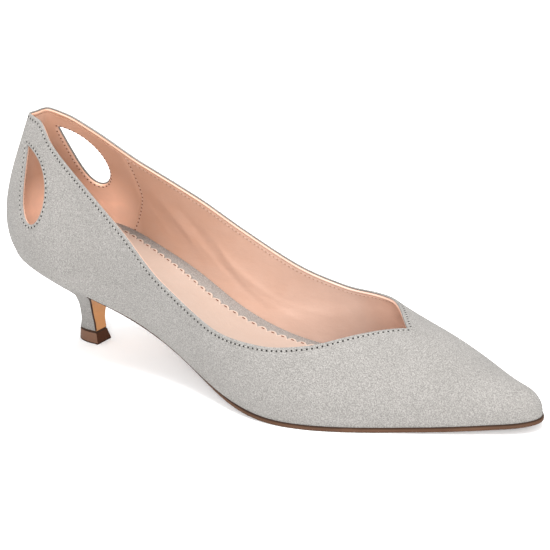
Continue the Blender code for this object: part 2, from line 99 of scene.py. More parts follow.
# The part's own sections, with the same columns
Section = namedtuple(
    "Section",
    "turn along width lateral medial rise spring height tall "
    "low_out low_up high_out high_down top_along top_half collar_lateral collar_medial",
)
SECTIONS = [Section(*row) for row in (
    (180, .002, "heel", .000, .000, 1.000, .00, "back", 1.00, .119, .30, .086, .30, .067, .000, .924, .924),
    (150, .015, "heel", .228, .228, .999, .00, "back", 1.00, .130, .30, .130, .30, .071, .088, .931, .922),
    (120, .052, "heel", .386, .386, .982, .00, "back", 1.01, .120, .30, .108, .30, .099, .130, .912, .874),
    (90, .115, "heel", .502, .500, .933, .00, "back", 1.05, .105, .30, .091, .30, .138, .150, .777, .759),
    (90, .210, "heel", .520, .492, .772, .00, "back", 1.16, .114, .30, .145, .25, .210, .150, .623, .553),
    (90, .305, "heel", .488, .432, .586, .00, "back", 1.26, .137, .30, .250, .20, .305, .150, .470, .440),
    (90, .401, "ball", .398, .288, .341, .00, "back", 1.32, .128, .30, .320, .15, .401, .080, .345, .388),
    (90, .496, "ball", .484, .320, .120, .00, "back", 1.21, .114, .32, .366, .08, .496, .027, .325, .375),
    (90, .592, "ball", .552, .396, .012, .00, "back", 0.95, .084, .35, .364, .03, .592, .000, .390, .415),
    (90, .668, "ball", .538, .464, .000, .00, "back", 0.71, .057, .40, .345, .00, .668, .000, .515, .535),
    (90, .744, "ball", .459, .484, .000, .04, "vamp", 0.99, .035, .45, .312, .00, .744, .000, 1.00, 1.00),
    (90, .821, "ball", .346, .418, .000, .14, "vamp", 0.80, .024, .50, .205, .00, .821, .000, 1.00, 1.00),
    (90, .897, "ball", .237, .292, .000, .42, "vamp", 0.53, .022, .55, .132, .00, .897, .000, 1.00, 1.00),
    (80, .950, "ball", .152, .172, .000, .68, "toe", 1.03, .020, .55, .096, .00, .945, .000, 1.00, 1.00),
    (45, .985, "ball", .085, .095, .000, .90, "toe", 0.93, .020, .55, .084, .00, .953, .000, 1.00, 1.00),
    (0, 1.000, "ball", .000, .000, .000, 1.0, "toe", 0.90, .020, .55, .090, .00, .956, .000, 1.00, 1.00),
)]
HeelSection = namedtuple("HeelSection", "up back side corner front")
HEEL_SECTIONS = [HeelSection(*row) for row in (
    (0.00, 0.000, 0.000, 0.000, 0.00),
    (0.12, -0.055, -0.020, 0.000, 0.00),
    (0.25, -0.055, -0.010, 0.025, 0.01),
    (0.38, 0.033, 0.035, 0.070, 0.05),
    (0.50, 0.180, 0.180, 0.150, 0.13),
    (0.61, 0.370, 0.370, 0.265, 0.25),
    (0.71, 0.560, 0.560, 0.410, 0.39),
    (0.80, 0.745, 0.740, 0.580, 0.55),
    (0.88, 0.890, 0.885, 0.750, 0.72),
    (0.95, 0.980, 0.975, 0.900, 0.88),
    (1.00, 1.000, 1.000, 1.000, 1.00),
)]
BACK_BLEND = 0.35

# Layers of the wall, measured from its outer face
SUEDE_THICK = 0.00095
EDGE_ROUND = 0.00042  # rounding of a cut or folded suede edge
LINING_OUT = 0.0010
LINING_IN = 0.00175
LINING_DROP = 0.0006  # lining's edge below the suede's
BEAD_HEIGHT = 0.0010  # folded rim of the lining, seen from inside
BEAD_PROUD = 0.00022
BEAD_GROOVE = 0.0013  # its stitched groove, from the lining's edge
BEAD_GROOVE_DEPTH = 0.0003
BEAD_GROOVE_WIDTH = 0.0002
COUNTER_THICK = 0.0004  # heel lining, laid over the lining
COUNTER_AROUND = {"collar": 0.061, "middle": 0.0605, "feather": 0.0535}  # its front edge
COUNTER_BOW = 0.002
COUNTER_SUNK = 0.0001  # its back, inside the lining
COUNTER_SKIVE = (-0.0004, 0.0006)  # from where to where its front edge thins out
COUNTER_RIM = (-0.0001, 0.0006)  # and its edge round a cut-out
TUCK_BREAST = 0.0007  # how far the suede turns under over the heel's breast
TUCK = 0.0002  # and how far elsewhere
BREAST_FADE = 0.003  # length over which the tuck over the breast begins
BREAST_TUCK_END = 0.085  # where it has died out, from the back
STITCH_GROOVE = 0.00012  # depth of the suede's groove under the stitches
STITCH_GROOVE_WIDTH = 0.00045

# Stitching
STITCH_PITCH = 0.0021
STITCH_IN = 0.0015  # from the collar's edge
STITCH_IN_LINING = 0.0027
TEAR_STITCH_IN = 0.0013
TEAR_STITCH_IN_LINING = 0.0014
SEAM_STITCH_IN = 0.0009  # in front of the heel lining's edge
SEAM_ENDS = (0.03, 0.96)  # its first and last stitch, as shares of the lining's height
THREAD_RADIUS = 0.00014
THREAD_SUNK = 0.7  # how deep a stitch's ends lie, as a share of its radius
HOLE_RADIUS = 0.00042
HOLE_LIFT = 0.00007
HOLE_THICK = 0.00004
COLLAR_SUNK = 0.00006  # the collar's stitches, below the suede's smooth face
TEAR_SUNK = 0.00005  # and a cut-out's
STITCH_STEPS = 12  # points along one stitch and its hole
TEAR_CLEAR = 0.0047  # from a cut-out to the plain grid round it

# Mesh fineness
COLUMN_STEP = 0.0014  # round the shoe, and round the toe
TOE_STEP = 0.0010
COLLAR_STEP = 0.0001  # along the collar's edge, and along its stitches
COLLAR_STITCH_STEP = 0.0007
WALL_ROWS = 34
RIM_DEPTHS = (0.0, 0.134 * EDGE_ROUND, 0.5 * EDGE_ROUND, EDGE_ROUND,
              0.0008, 0.0012, 0.0015, 0.0018, 0.0024, 0.0034)  # rows of points along a cut edge
TEAR_POINTS = 720
TEAR_RINGS = 4  # from a cut-out's last rim row to the plain grid
SAMPLES = 65  # along one column, for its length
BED_POINTS = 480
BED_STRIPS = (0.25, 0.5, 0.75, 0.9)  # shares of the way to the middle line
SOLE_POINTS = 420
HEEL_FRONT_POINTS = 17
HEEL_BACK_POINTS = 61
HEEL_RINGS = 44

# Sock, insole and sole
SCALLOP_PITCH = 0.0045
SCALLOP_DEPTH = 0.0022
SCALLOP_POINTS = 10
SCALLOP_POWER = 0.75  # below 1, for narrow notches
SLIT_LENGTH = 0.0013
SLIT_RADIUS = 0.00032
SLIT_SUNK = 0.00003  # its middle line, below the sock's top
SLIT_ACROSS = 0.7  # its place, as a share of a scallop's depth
HIGHLIGHT_RIM = 0.0006  # width of the sock's rim, paler as a painted highlight of its raised edge
PLATE_EDGE = 0.0002  # rounding of the sock's and insole's edges
SoleRow = namedtuple("SoleRow", "out level")  # out from the edge, and share of the thickness
SOLE_PROFILE = [SoleRow(*row) for row in (
    (-0.0009, 0.00), (-0.0003, 0.04), (0.0, 0.20), (0.0, 0.62), (-0.0001, 0.78), (-0.0018, 0.80),
)]
# The dark line along the top of the sole's edge is a dark joint and painted shade of the crevice under the
# suede; at the shank it covers nearly the whole edge as painted shade.
SOLE_LINE_DEEP = 0.0018  # how far the dark line runs in under the suede
SOLE_LINE_FOOT = {"shank": 0.05, "forepart": 0.79}  # its foot, as a share of the sole's thickness
SOLE_LINE_PROUD = {"shank": 0.0001, "forepart": -0.0002}  # out from the sole's edge

# Heel
BREAST_PROUD = 0.0002  # how far the breast's leather stands out
BREAST_EDGES = {"inner": 0.0002, "outer": 0.0004, "top": 0.0003}  # radius of its dark edges
BREAST_EDGE_ENDS = (0.01, 0.99)  # where they start and end, as shares of the heel's height
PART_STEM_POINTS = (5, 25)  # the part's own points across the stem's front and round its back
SEAT_TUCK = 0.0004  # the heel's cover runs up into the seat by so much
SEAT_NARROW = 0.98  # and is drawn in to this share there
TIP_JOINT = 0.0052  # the tip is dark above this height
TIP_BEVEL = 0.0007  # and below this one
TIP_FRONT_FACING = 0.7  # its front faces are those that face forward by more than this; they keep the plain dark colour, the others carry a painted sheen
TipRow = namedtuple("TipRow", "height grow")
TIP_PROFILE = [TipRow(*row) for row in (
    (0.0, -0.0003), (0.0003, 0.0), (0.0008, -0.00003), (0.0040, -0.0007), (0.0052, -0.00085),
    (0.0054, -0.0011), (TOP_PIECE_HEIGHT, -0.0011),
)]


def periodic_spline(knots, period, points):
    """A smooth closed cubic spline through points, as a function of the distance round the loop."""
    count = len(knots)
    spans = np.diff(np.append(knots, period))
    matrix = np.zeros((count, count))
    rhs = np.zeros_like(points)
    for i in range(count):
        before, after = spans[i - 1], spans[i]
        matrix[i, i - 1] += before
        matrix[i, i] += 2 * (before + after)
        matrix[i, (i + 1) % count] += after
        forward = (points[(i + 1) % count] - points[i]) / after
        backward = (points[i] - points[i - 1]) / before
        rhs[i] = 6 * (forward - backward)
    bends = np.linalg.solve(matrix, rhs.reshape(count, -1)).reshape(points.shape)

    def at(around):
        around = np.asarray(around) % period
        i = np.searchsorted(knots, around, side="right") - 1
        j = (i + 1) % count
        span = spans[i][..., None, None]
        b = (around - knots[i])[..., None, None] / span
        a = 1 - b
        curve = (a**3 - a) * bends[i] + (b**3 - b) * bends[j]
        return a * points[i] + b * points[j] + curve * span**2 / 6

    return at


def monotone_curve(knots, values):
    """A smooth curve through values that doesn't swing past them."""
    knots = np.asarray(knots, float)
    values = np.asarray(values, float)
    spans = np.diff(knots)
    secants = np.diff(values) / spans
    slopes = np.empty(len(values))
    slopes[0] = secants[0]
    slopes[-1] = secants[-1]
    for i in range(1, len(values) - 1):
        left, right = secants[i - 1], secants[i]
        slopes[i] = 2 * left * right / (left + right) if left * right > 0 else 0.0

    def at(where):
        where = np.clip(where, knots[0], knots[-1])
        i = np.minimum(np.searchsorted(knots, where, side="right") - 1, len(spans) - 1)
        t = (where - knots[i]) / spans[i]
        start = (1 + 2 * t) * (1 - t) ** 2 * values[i] + t * (1 - t) ** 2 * spans[i] * slopes[i]
        end = t * t * (3 - 2 * t) * values[i + 1] + t * t * (t - 1) * spans[i] * slopes[i + 1]
        return start + end

    return at


def smooth_step(value, low, high):
    t = np.clip((value - low) / (high - low), 0.0, 1.0)
    return t * t * (3 - 2 * t)


def bump(value, middle, width):
    return np.exp(-(((value - middle) / width) ** 2))


def unit(vectors):
    return vectors / np.linalg.norm(vectors, axis=-1, keepdims=True)


def travelled(path):
    """Distance along a path at each of its points."""
    steps = np.linalg.norm(np.diff(path, axis=0), axis=1)
    return np.concatenate([[0.0], np.cumsum(steps)])


def nearest(points, place):
    return int(np.argmin(np.linalg.norm(points - place, axis=1)))


def section_controls(section, side):
    """Feather, low, high and top point of one section, on one side."""
    turn = math.radians(section.turn)
    facing = np.array([math.cos(turn), side * math.sin(turn), 0.0])
    width = WIDTHS[section.width]
    half = (section.lateral if side < 0 else section.medial) * width
    tall = section.tall * HEIGHTS[section.height]
    floor = BED + section.rise * SEAT_RISE + section.spring * TOE_SPRING
    feather = np.array([section.along * LENGTH, side * half, floor])
    top = np.array([section.top_along * LENGTH, side * section.top_half * width, floor + tall])
    up = np.array([0.0, 0.0, tall])
    low = feather + facing * section.low_out * width + up * section.low_up
    high = top + facing * section.high_out * width - up * section.high_down
    return [feather, low, high, top]


class Last:
    """The surface of the last."""

    def __init__(self):
        lateral = [section_controls(section, -1) for section in SECTIONS]
        medial = [section_controls(section, 1) for section in SECTIONS]
        steps = []
        for i in range(len(SECTIONS) - 1):
            step = np.linalg.norm(lateral[i + 1][0] - lateral[i][0])
            step += np.linalg.norm(medial[i + 1][0] - medial[i][0])
            steps.append(step / 2)
        knots = np.concatenate([[0.0], np.cumsum(steps + steps[::-1])])
        self.half = knots[len(SECTIONS) - 1]
        self.spline = periodic_spline(knots[:-1], knots[-1], np.array(lateral + medial[-2:0:-1]))
        self.throat = self.around_where(3, LENGTH - VAMP_LENGTH)
        self.collars = {}
        for side in (-1, 1):
            at, values = [], []
            for knot, section in zip(knots, SECTIONS):
                share = section.collar_lateral if side < 0 else section.collar_medial
                if share < 1 and knot < self.throat:
                    at.append(knot)
                    values.append(share)
            self.collars[side] = monotone_curve(at + [self.throat], values + [1.0])
        bed = self.feather(-np.linspace(0, self.half, 400))
        self.bed_along, self.bed_up = bed[:, 0], bed[:, 2]

    def controls(self, around):
        points = self.spline(-np.asarray(around, float))
        points[..., 0, 2] = np.maximum(points[..., 0, 2], BED)
        outer = np.asarray(around) < 0
        across = points[..., 3, 1]
        points[..., 3, 1] = np.where(outer, np.minimum(across, 0.0), np.maximum(across, 0.0))
        return points

    def around_where(self, rail, along):
        """Distance from the back at which a rail of the outer side is so far along."""
        low, high = 0.0, self.half
        while high - low > 1e-9:
            middle = (low + high) / 2
            if self.controls(-middle)[rail, 0] < along:
                low = middle
            else:
                high = middle
        return (low + high) / 2

    def collar(self, around):
        around = np.asarray(around, float)
        share = np.where(around < 0, self.collars[-1](np.abs(around)), self.collars[1](np.abs(around)))
        return np.where(np.abs(around) < self.throat, share, 1.0)

    def point(self, around, share):
        rails = self.controls(around)
        share = np.asarray(share, float)[..., None]
        rest = 1 - share
        return (rest**3 * rails[..., 0, :] + 3 * rest * rest * share * rails[..., 1, :]
                + 3 * rest * share * share * rails[..., 2, :] + share**3 * rails[..., 3, :])

    def outward(self, around, share):
        step, lift = 0.0004, 0.004
        round_shoe = self.point(around + step, share) - self.point(around - step, share)
        high = np.minimum(share + lift, 1.0)
        up_wall = self.point(around, high) - self.point(around, high - 2 * lift)
        return unit(np.cross(up_wall, round_shoe))

    def feather(self, around):
        return self.controls(around)[..., 0, :]

    def bed_height(self, along):
        return np.interp(along, self.bed_along, self.bed_up)

    def heights(self, around):
        """For one column: its shares from the collar down, and how far down the wall each one is."""
        shares = np.linspace(float(self.collar(around)), 0.0, SAMPLES)
        return shares, travelled(self.point(np.full(SAMPLES, around), shares))


last = Last()


# Teardrop cut-outs

def tear_frame(side):
    """Middle of a cut-out as around and share, and the metres that one unit of each makes there."""
    around = side * TEAR_AROUND[side]
    collar = float(last.collar(around))
    step, lift, middle = 0.0005, 0.01, collar / 2
    reach = np.linalg.norm(last.point(around + step, middle) - last.point(around - step, middle))
    rise = np.linalg.norm(last.point(around, middle + lift) - last.point(around, middle - lift))
    return around, collar, reach / (2 * step), rise / (2 * lift)


def tear_to_wall(side, flat):
    """Offsets from a cut-out's middle, to the front and up, as around and share."""
    around, collar, reach, rise = tear_frame(side)
    return np.stack([around + side * flat[:, 0] / reach,
                     collar + (flat[:, 1] - TEAR_BELOW[side]) / rise], axis=1)


def wall_to_tear(side, places):
    around, collar, reach, rise = tear_frame(side)
    return np.stack([(places[:, 0] - around) * side * reach,
                     (places[:, 1] - collar) * rise + TEAR_BELOW[side]], axis=1)


def tear_outline():
    """A teardrop from its tip, which leans to the back, round by the front."""
    widest = 0.77  # greatest value of the two sines' product
    t = 2 * math.pi * np.arange(TEAR_POINTS) / TEAR_POINTS
    across = TEAR_WIDTH / 2 * np.sin(t) * np.sin(t / 2) / widest + TEAR_BOW * np.sin(t) ** 2
    up = TEAR_LENGTH / 2 * np.cos(t)
    return np.stack([across * math.cos(TEAR_LEAN) - up * math.sin(TEAR_LEAN),
                     across * math.sin(TEAR_LEAN) + up * math.cos(TEAR_LEAN)], axis=1)


def loop_normals(loop):
    """Outward directions of a closed flat loop that runs clockwise."""
    apart = max(len(loop) // 120, 1)
    along = np.roll(loop, -apart, axis=0) - np.roll(loop, apart, axis=0)
    return unit(np.stack([-along[:, 1], along[:, 0]], axis=1))


def evenly(points, spacing, closed):
    """Rows at even steps along a path whose first three columns are its points."""
    path = np.vstack([points, points[:1]]) if closed else points
    lengths = travelled(path[:, :3])
    count = max(int(round(lengths[-1] / spacing)), 2)
    wanted = np.linspace(0.0, lengths[-1], count, endpoint=not closed)
    return np.stack([np.interp(wanted, lengths, column) for column in path.T], axis=1)


# Sheets of the wall

class Sheet:
    """Part of the wall, as faces between places. Each place is an around and a share."""

    def __init__(self, around, share):
        """around and share have one row for each column of the sheet, from the feather line up."""
        self.places = np.stack([around.ravel(), share.ravel()], axis=1).tolist()
        self.index = np.arange(around.size).reshape(around.shape)
        self.nominal = {}  # edge distances known from the making of the sheet
        self.faces = []

    def join_ridge(self, columns):
        """Make the sheet one piece over the vamp's ridge and round the tip."""
        last_column = len(columns) - 1
        self.index[last_column] = self.index[0]
        for c in range(last_column, last_column // 2, -1):
            if columns[c] >= last.throat:
                self.index[c, -1] = self.index[last_column - c, -1]

    def fill(self, back, beside=0, top_row=None):
        """Faces for the whole grid, with both cut-outs, whose edges stand back by so much."""
        columns, rows = self.index.shape
        holes = [(side, self.block(side, beside, top_row)) for side in (-1, 1)]
        inside = np.zeros((columns - 1, rows - 1), bool)
        for side, (c0, c1, r0, r1) in holes:
            inside[c0:c1, r0:r1] = True
        for c, r in zip(*np.nonzero(~inside)):
            corners = self.index[[c, c + 1, c + 1, c], [r, r, r + 1, r + 1]].tolist()
            self.faces.append(list(dict.fromkeys(corners)))
        for side, block in holes:
            self.cut(side, block, back)

    def block(self, side, beside, top_row):
        """Columns and rows of the grid that clear a cut-out and its stitching, with so many more columns
        beside it, and up to top_row where that is given."""
        around, share = np.moveaxis(np.array(self.places)[self.index], 2, 0)
        flat = tear_outline()
        grown = tear_to_wall(side, flat + loop_normals(flat) * TEAR_CLEAR)
        (left, low), (right, high) = grown.min(axis=0), grown.max(axis=0)
        columns = np.where(np.any((around > left) & (around < right), axis=1))[0]
        c0, c1 = int(columns[0]) - beside, int(columns[-1]) + beside
        inside = share[c0:c1 + 1]
        r0 = max(int(min(np.searchsorted(column, low) for column in inside)) - 1, 1)
        if top_row is None:
            top_row = min(int(max(np.searchsorted(column, high) for column in inside)), share.shape[1] - 2)
        return c0, c1, r0, top_row

    def cut(self, side, block, back):
        """Rings of faces from a block's border to the cut-out inside it."""
        c0, c1, r0, r1 = block
        border = [self.index[c, r0] for c in range(c0, c1)]
        border += [self.index[c1, r] for r in range(r0, r1)]
        border += [self.index[c, r1] for c in range(c1, c0, -1)]
        border += [self.index[c0, r] for r in range(r1, r0, -1)]
        if side > 0:
            border = border[::-1]
        around_hole = wall_to_tear(side, np.array([self.places[i] for i in border]))
        outline = tear_outline()
        foot = len(outline) // 2
        outside = 1.15  # how much further out than the outline its tip and foot are looked for
        tip_at = nearest(around_hole, outline[0] * outside)
        border = border[tip_at:] + border[:tip_at]
        around_hole = np.roll(around_hole, -tip_at, axis=0)
        foot_at = nearest(around_hole, outline[foot] * outside)
        both = np.hstack([outline, loop_normals(outline)])
        both = np.vstack([both, both[:1]])
        travel = travelled(both[:, :2])
        edge = travelled(np.vstack([around_hole, around_hole[:1]]))
        matched = np.interp(edge[:-1], [0.0, edge[foot_at], edge[-1]], [0.0, travel[foot], travel[-1]])
        start = np.stack([np.interp(matched, travel, column) for column in both.T], axis=1)
        start, facing = start[:, :2], unit(start[:, 2:])
        rings = [(start + facing * (distance + back), distance) for distance in RIM_DEPTHS]
        outer = rings[-1][0]
        rings += [(outer + (around_hole - outer) * k / TEAR_RINGS, None) for k in range(1, TEAR_RINGS)]
        made = []
        for flat, distance in rings:
            first = len(self.places)
            self.places.extend(tear_to_wall(side, flat).tolist())
            made.append(list(range(first, first + len(flat))))
            if distance is not None:
                self.nominal.update(dict.fromkeys(made[-1], distance))
        made.append([int(i) for i in border])
        count = len(border)
        for inner_ring, outer_ring in zip(made, made[1:]):
            for i in range(count):
                j = (i + 1) % count
                face = [inner_ring[i], inner_ring[j], outer_ring[j], outer_ring[i]]
                self.faces.append(face if side > 0 else face[::-1])

    def used(self):
        """Drop the places that no face uses."""
        kept = sorted({i for face in self.faces for i in face})
        renamed = {old: new for new, old in enumerate(kept)}
        self.faces = [[renamed[i] for i in face] for face in self.faces]
        self.nominal = {renamed[i]: d for i, d in self.nominal.items() if i in renamed}
        self.places = np.array([self.places[i] for i in kept])


def border_edges(faces):
    """Edges that only one face has, in that face's direction."""
    seen = dict.fromkeys((a, b) for face in faces for a, b in zip(face, face[1:] + face[:1]))
    return [(a, b) for a, b in seen if (b, a) not in seen]


def whole_columns():
    """Columns of the whole shoe from the tip by the outer side, the back and the inner side to the tip."""
    behind = np.linspace(0.0, last.throat, int(last.throat / COLUMN_STEP))
    ahead = np.linspace(last.throat, last.half, int((last.half - last.throat) / TOE_STEP))
    positive = np.concatenate([behind, ahead[1:]])
    return np.concatenate([-positive[::-1], positive[1:]])


def depths_of(around, drop):
    """Shares of one column from the feather line to the collar, finer near the collar."""
    shares, down = last.heights(around)
    rim = np.array(RIM_DEPTHS) + drop
    rest = np.linspace(rim[-1], down[-1] - TUCK, WALL_ROWS + 1)[1:]
    return np.interp(np.concatenate([rim, rest, down[-1:]]), down, shares)[::-1]


def collar_path(step=COLLAR_STEP):
    around = np.linspace(-last.throat, last.throat, int(2 * last.throat / step))
    return around, last.collar(around)


def edge_distances(sheet):
    """How far each place of a sheet is from the collar's edge or a cut-out's."""
    around, share = collar_path()
    edges = [last.point(around, share)]
    for side in (-1, 1):
        places = tear_to_wall(side, tear_outline())
        edges.append(last.point(places[:, 0], places[:, 1]))
    edges = np.vstack(edges)
    tree = KDTree(len(edges))
    for i, point in enumerate(edges):
        tree.insert(point, i)
    tree.balance()
    points = last.point(sheet.places[:, 0], sheet.places[:, 1])
    distances = np.array([tree.find(point)[2] for point in points])
    for i, distance in sheet.nominal.items():
        distances[i] = distance
    return distances


def mesh_object(name, points, faces, material, smooth_angle):
    mesh = bpy.data.meshes.new(name)
    mesh.from_pydata([tuple(float(c) for c in point) for point in np.asarray(points) + SHIFT], [], faces)
    mesh.validate()
    shape = bmesh.new()
    shape.from_mesh(mesh)
    if shape.calc_volume(signed=True) < 0:
        bmesh.ops.reverse_faces(shape, faces=shape.faces)
        shape.to_mesh(mesh)
    shape.free()
    mesh.shade_smooth()
    mesh.set_sharp_from_angle(angle=math.radians(smooth_angle))
    mesh.materials.append(material)
    thing = bpy.data.objects.new(name, mesh)
    bpy.context.collection.objects.link(thing)
    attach(thing, "root")
    return thing


def closed_body(name, front, back, faces, material, smooth_angle):
    """A body between two rows of points that have the same faces, closed round their border."""
    count = len(front)
    made = [face[::-1] for face in faces]
    made += [[i + count for i in face] for face in faces]
    made += [[a, b, b + count, a + count] for a, b in border_edges(faces)]
    return mesh_object(name, np.vstack([front, back]), made, material, smooth_angle)


def shell(name, sheet, outer, inner, material, tuck=0.0):
    """A closed body from a sheet, with its faces at two offsets from the last. tuck lowers its lowest row."""
    around, share = sheet.places[:, 0], sheet.places[:, 1]
    surface = last.point(around, share)
    facing = last.outward(around, share)
    surface[:, 2] -= np.where(share <= 0.0, tuck, 0.0)
    front, back = surface + facing * outer[:, None], surface + facing * inner[:, None]
    return closed_body(name, front, back, sheet.faces, material, 50.0)


def whole_sheet(drop):
    """The wall all round, with both cut-outs, from the feather line to the collar."""
    columns = whole_columns()
    share = np.array([depths_of(around, drop) for around in columns])
    around = np.repeat(columns[:, None], share.shape[1], axis=1)
    sheet = Sheet(around, share)
    rim_rows = share.shape[1] - len(RIM_DEPTHS)
    for c, place in enumerate(columns):
        if abs(place) <= last.throat:
            for r in range(rim_rows, share.shape[1]):
                sheet.nominal[int(sheet.index[c, r])] = RIM_DEPTHS[share.shape[1] - 1 - r]
    sheet.join_ridge(columns)
    sheet.fill(drop, 1, rim_rows + 1)
    sheet.used()
    return sheet


def rounded_edge(distance, radius):
    """Offset of a face that rounds off towards a cut edge."""
    near = np.clip(radius - distance, 0.0, radius)
    return np.sqrt(radius**2 - near**2) - radius


# Soft creases of the wall. around and up are the middle, up as metres above the feather line; lean turns
# the crease up from level; long and wide are its half length and half width; high is its height, and a
# trough's is below 0.
Crease = namedtuple("Crease", "around up lean long wide high")
CREASES = [Crease(*row) for row in (
    (-0.150, 0.010, 20, 0.020, 0.0050, -0.00035),
    (-0.165, 0.014, 15, 0.018, 0.0045, 0.00025),
    (-0.190, 0.012, 30, 0.015, 0.0040, -0.00025),
    (-0.120, 0.012, -10, 0.022, 0.0050, -0.00030),
    (-0.085, 0.020, -25, 0.020, 0.0060, 0.00030),
    (0.085, 0.020, -30, 0.018, 0.0045, -0.00040),
    (0.100, 0.018, -20, 0.020, 0.0040, 0.00030),
    (0.120, 0.014, -10, 0.020, 0.0040, -0.00035),
    (0.145, 0.012, 10, 0.018, 0.0035, 0.00025),
    (0.165, 0.014, 20, 0.018, 0.0040, -0.00030),
)]
LINING_CREASES = [Crease(*row) for row in (
    (0.072, 0.014, -40, 0.008, 0.0016, -0.00013),
    (0.088, 0.016, -35, 0.010, 0.0018, -0.00017),
    (0.094, 0.021, -30, 0.008, 0.0015, 0.00015),
    (0.104, 0.012, -20, 0.010, 0.0016, -0.00017),
    (0.112, 0.018, -28, 0.009, 0.0018, -0.00020),
    (0.118, 0.010, -12, 0.012, 0.0014, 0.00015),
    (0.128, 0.014, -8, 0.012, 0.0016, -0.00017),
    (0.138, 0.009, -3, 0.012, 0.0013, -0.00015),
    (0.150, 0.013, 6, 0.012, 0.0016, -0.00017),
    (-0.090, 0.015, -30, 0.010, 0.0018, -0.00017),
    (-0.108, 0.012, -18, 0.012, 0.0016, -0.00015),
    (-0.132, 0.012, -6, 0.012, 0.0016, -0.00017),
)]


def creases(rows, around, share):
    """Height of the creases over the smooth wall."""
    up = last.point(around, share)[:, 2] - last.feather(around)[:, 2]
    total = np.zeros(len(around))
    for crease in rows:
        lean = math.radians(crease.lean)
        x = around - crease.around
        y = up - crease.up
        along = x * math.cos(lean) + y * math.sin(lean)
        across = y * math.cos(lean) - x * math.sin(lean)
        total += crease.high * bump(along, 0.0, crease.long) * bump(across, 0.0, crease.wide)
    return total


def make_upper(suede, lining):
    outer_sheet = whole_sheet(0.0)
    distance = edge_distances(outer_sheet)
    around, share = outer_sheet.places.T
    soft = creases(CREASES, around, share)
    groove = STITCH_GROOVE * bump(distance, STITCH_IN, STITCH_GROOVE_WIDTH)
    along = last.feather(around)[:, 0]
    over = smooth_step(along, BREAST_ALONG - BREAST_FADE, BREAST_ALONG)
    over *= smooth_step(-along, -BREAST_TUCK_END, -BREAST_ALONG)
    upper = shell("upper_suede", outer_sheet, soft - groove + rounded_edge(distance, EDGE_ROUND),
                  soft - SUEDE_THICK, suede, TUCK + (TUCK_BREAST - TUCK) * over)
    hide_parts("upper")
    inner_sheet = whole_sheet(LINING_DROP)
    distance = edge_distances(inner_sheet)
    around, share = inner_sheet.places.T
    soft = creases(CREASES, around, share)
    fine = creases(LINING_CREASES, around, share)
    half = BEAD_HEIGHT / 2
    bead = BEAD_PROUD * np.sqrt(np.clip(1 - ((distance - half) / half) ** 2, 0.0, 1.0))
    groove = BEAD_GROOVE_DEPTH * bump(distance, BEAD_GROOVE, BEAD_GROOVE_WIDTH)
    lined = shell("upper_lining", inner_sheet, soft - LINING_OUT,
                  soft + fine - LINING_IN - bead + groove, lining)


def counter_front(share_of_height):
    """Distance from the back of the heel lining's front edge."""
    values = [COUNTER_AROUND[level] for level in ("feather", "middle", "collar")]
    bow = COUNTER_BOW * np.sin(np.pi * share_of_height)
    return np.interp(share_of_height, (0.0, 0.5, 1.0), values) + bow


def lining_share(around, level):
    """Share of the wall at a level of the heel lining, which ends just under the bead."""
    shares, down = last.heights(around)
    below = BEAD_GROOVE + LINING_DROP
    return np.interp(below + (down[-1] - below) * (1 - level), down, shares)


def make_counter_lining(lining):
    """The heel's own lining, laid over the lining of the wall."""
    steps = int(2 * COUNTER_AROUND["middle"] / COLUMN_STEP)
    steps += steps % 2
    level = np.linspace(0.0, 1.0, len(RIM_DEPTHS) + WALL_ROWS)
    around = np.linspace(-1.0, 1.0, steps + 1)[:, None] * counter_front(level)[None, :]
    share = np.empty_like(around)
    for place in np.ndindex(around.shape):
        share[place] = lining_share(around[place], level[place[1]])
    sheet = Sheet(around, share)
    sheet.fill(LINING_DROP)
    sheet.used()
    distance = edge_distances(sheet)
    soft = creases(CREASES, *sheet.places.T)
    front = np.abs(sheet.places[:, 0])
    limit = counter_front(np.clip(sheet.places[:, 1] / last.collar(sheet.places[:, 0]), 0.0, 1.0))
    thick = COUNTER_THICK * smooth_step(limit - front, *COUNTER_SKIVE)
    thick = thick * smooth_step(distance, *COUNTER_RIM)
    piece = shell("counter_lining", sheet, soft - LINING_IN + COUNTER_SUNK, soft - LINING_IN - thick, lining)


# Stitching

def tube(path, normals, radius):
    """Points and faces of a closed tube along a short path."""
    sides = 6
    along = np.gradient(path, axis=0)
    across = unit(np.cross(along, normals))
    points, faces = [], []
    for centre, up, side in zip(path, normals, across):
        for k in range(sides):
            t = 2 * math.pi * k / sides
            points.append(centre + radius * (math.cos(t) * side + math.sin(t) * up))
    for i in range(len(path) - 1):
        for k in range(sides):
            n = (k + 1) % sides
            faces.append([i * sides + k, i * sides + n, (i + 1) * sides + n, (i + 1) * sides + k])
    faces.append(list(range(sides))[::-1])
    faces.append([(len(path) - 1) * sides + k for k in range(sides)])
    return points, faces


def disc(centre, normal, along, radius, thick):
    """Points and faces of a small flat bead."""
    sides = 8
    across = np.cross(normal, along)
    points = [centre - normal * thick, centre + normal * thick]
    for k in range(sides):
        t = 2 * math.pi * k / sides
        points.append(centre + radius * (math.cos(t) * along + math.sin(t) * across))
    faces = []
    for k in range(sides):
        n = (k + 1) % sides
        faces.append([1, 2 + k, 2 + n])
        faces.append([0, 2 + n, 2 + k])
    return points, faces


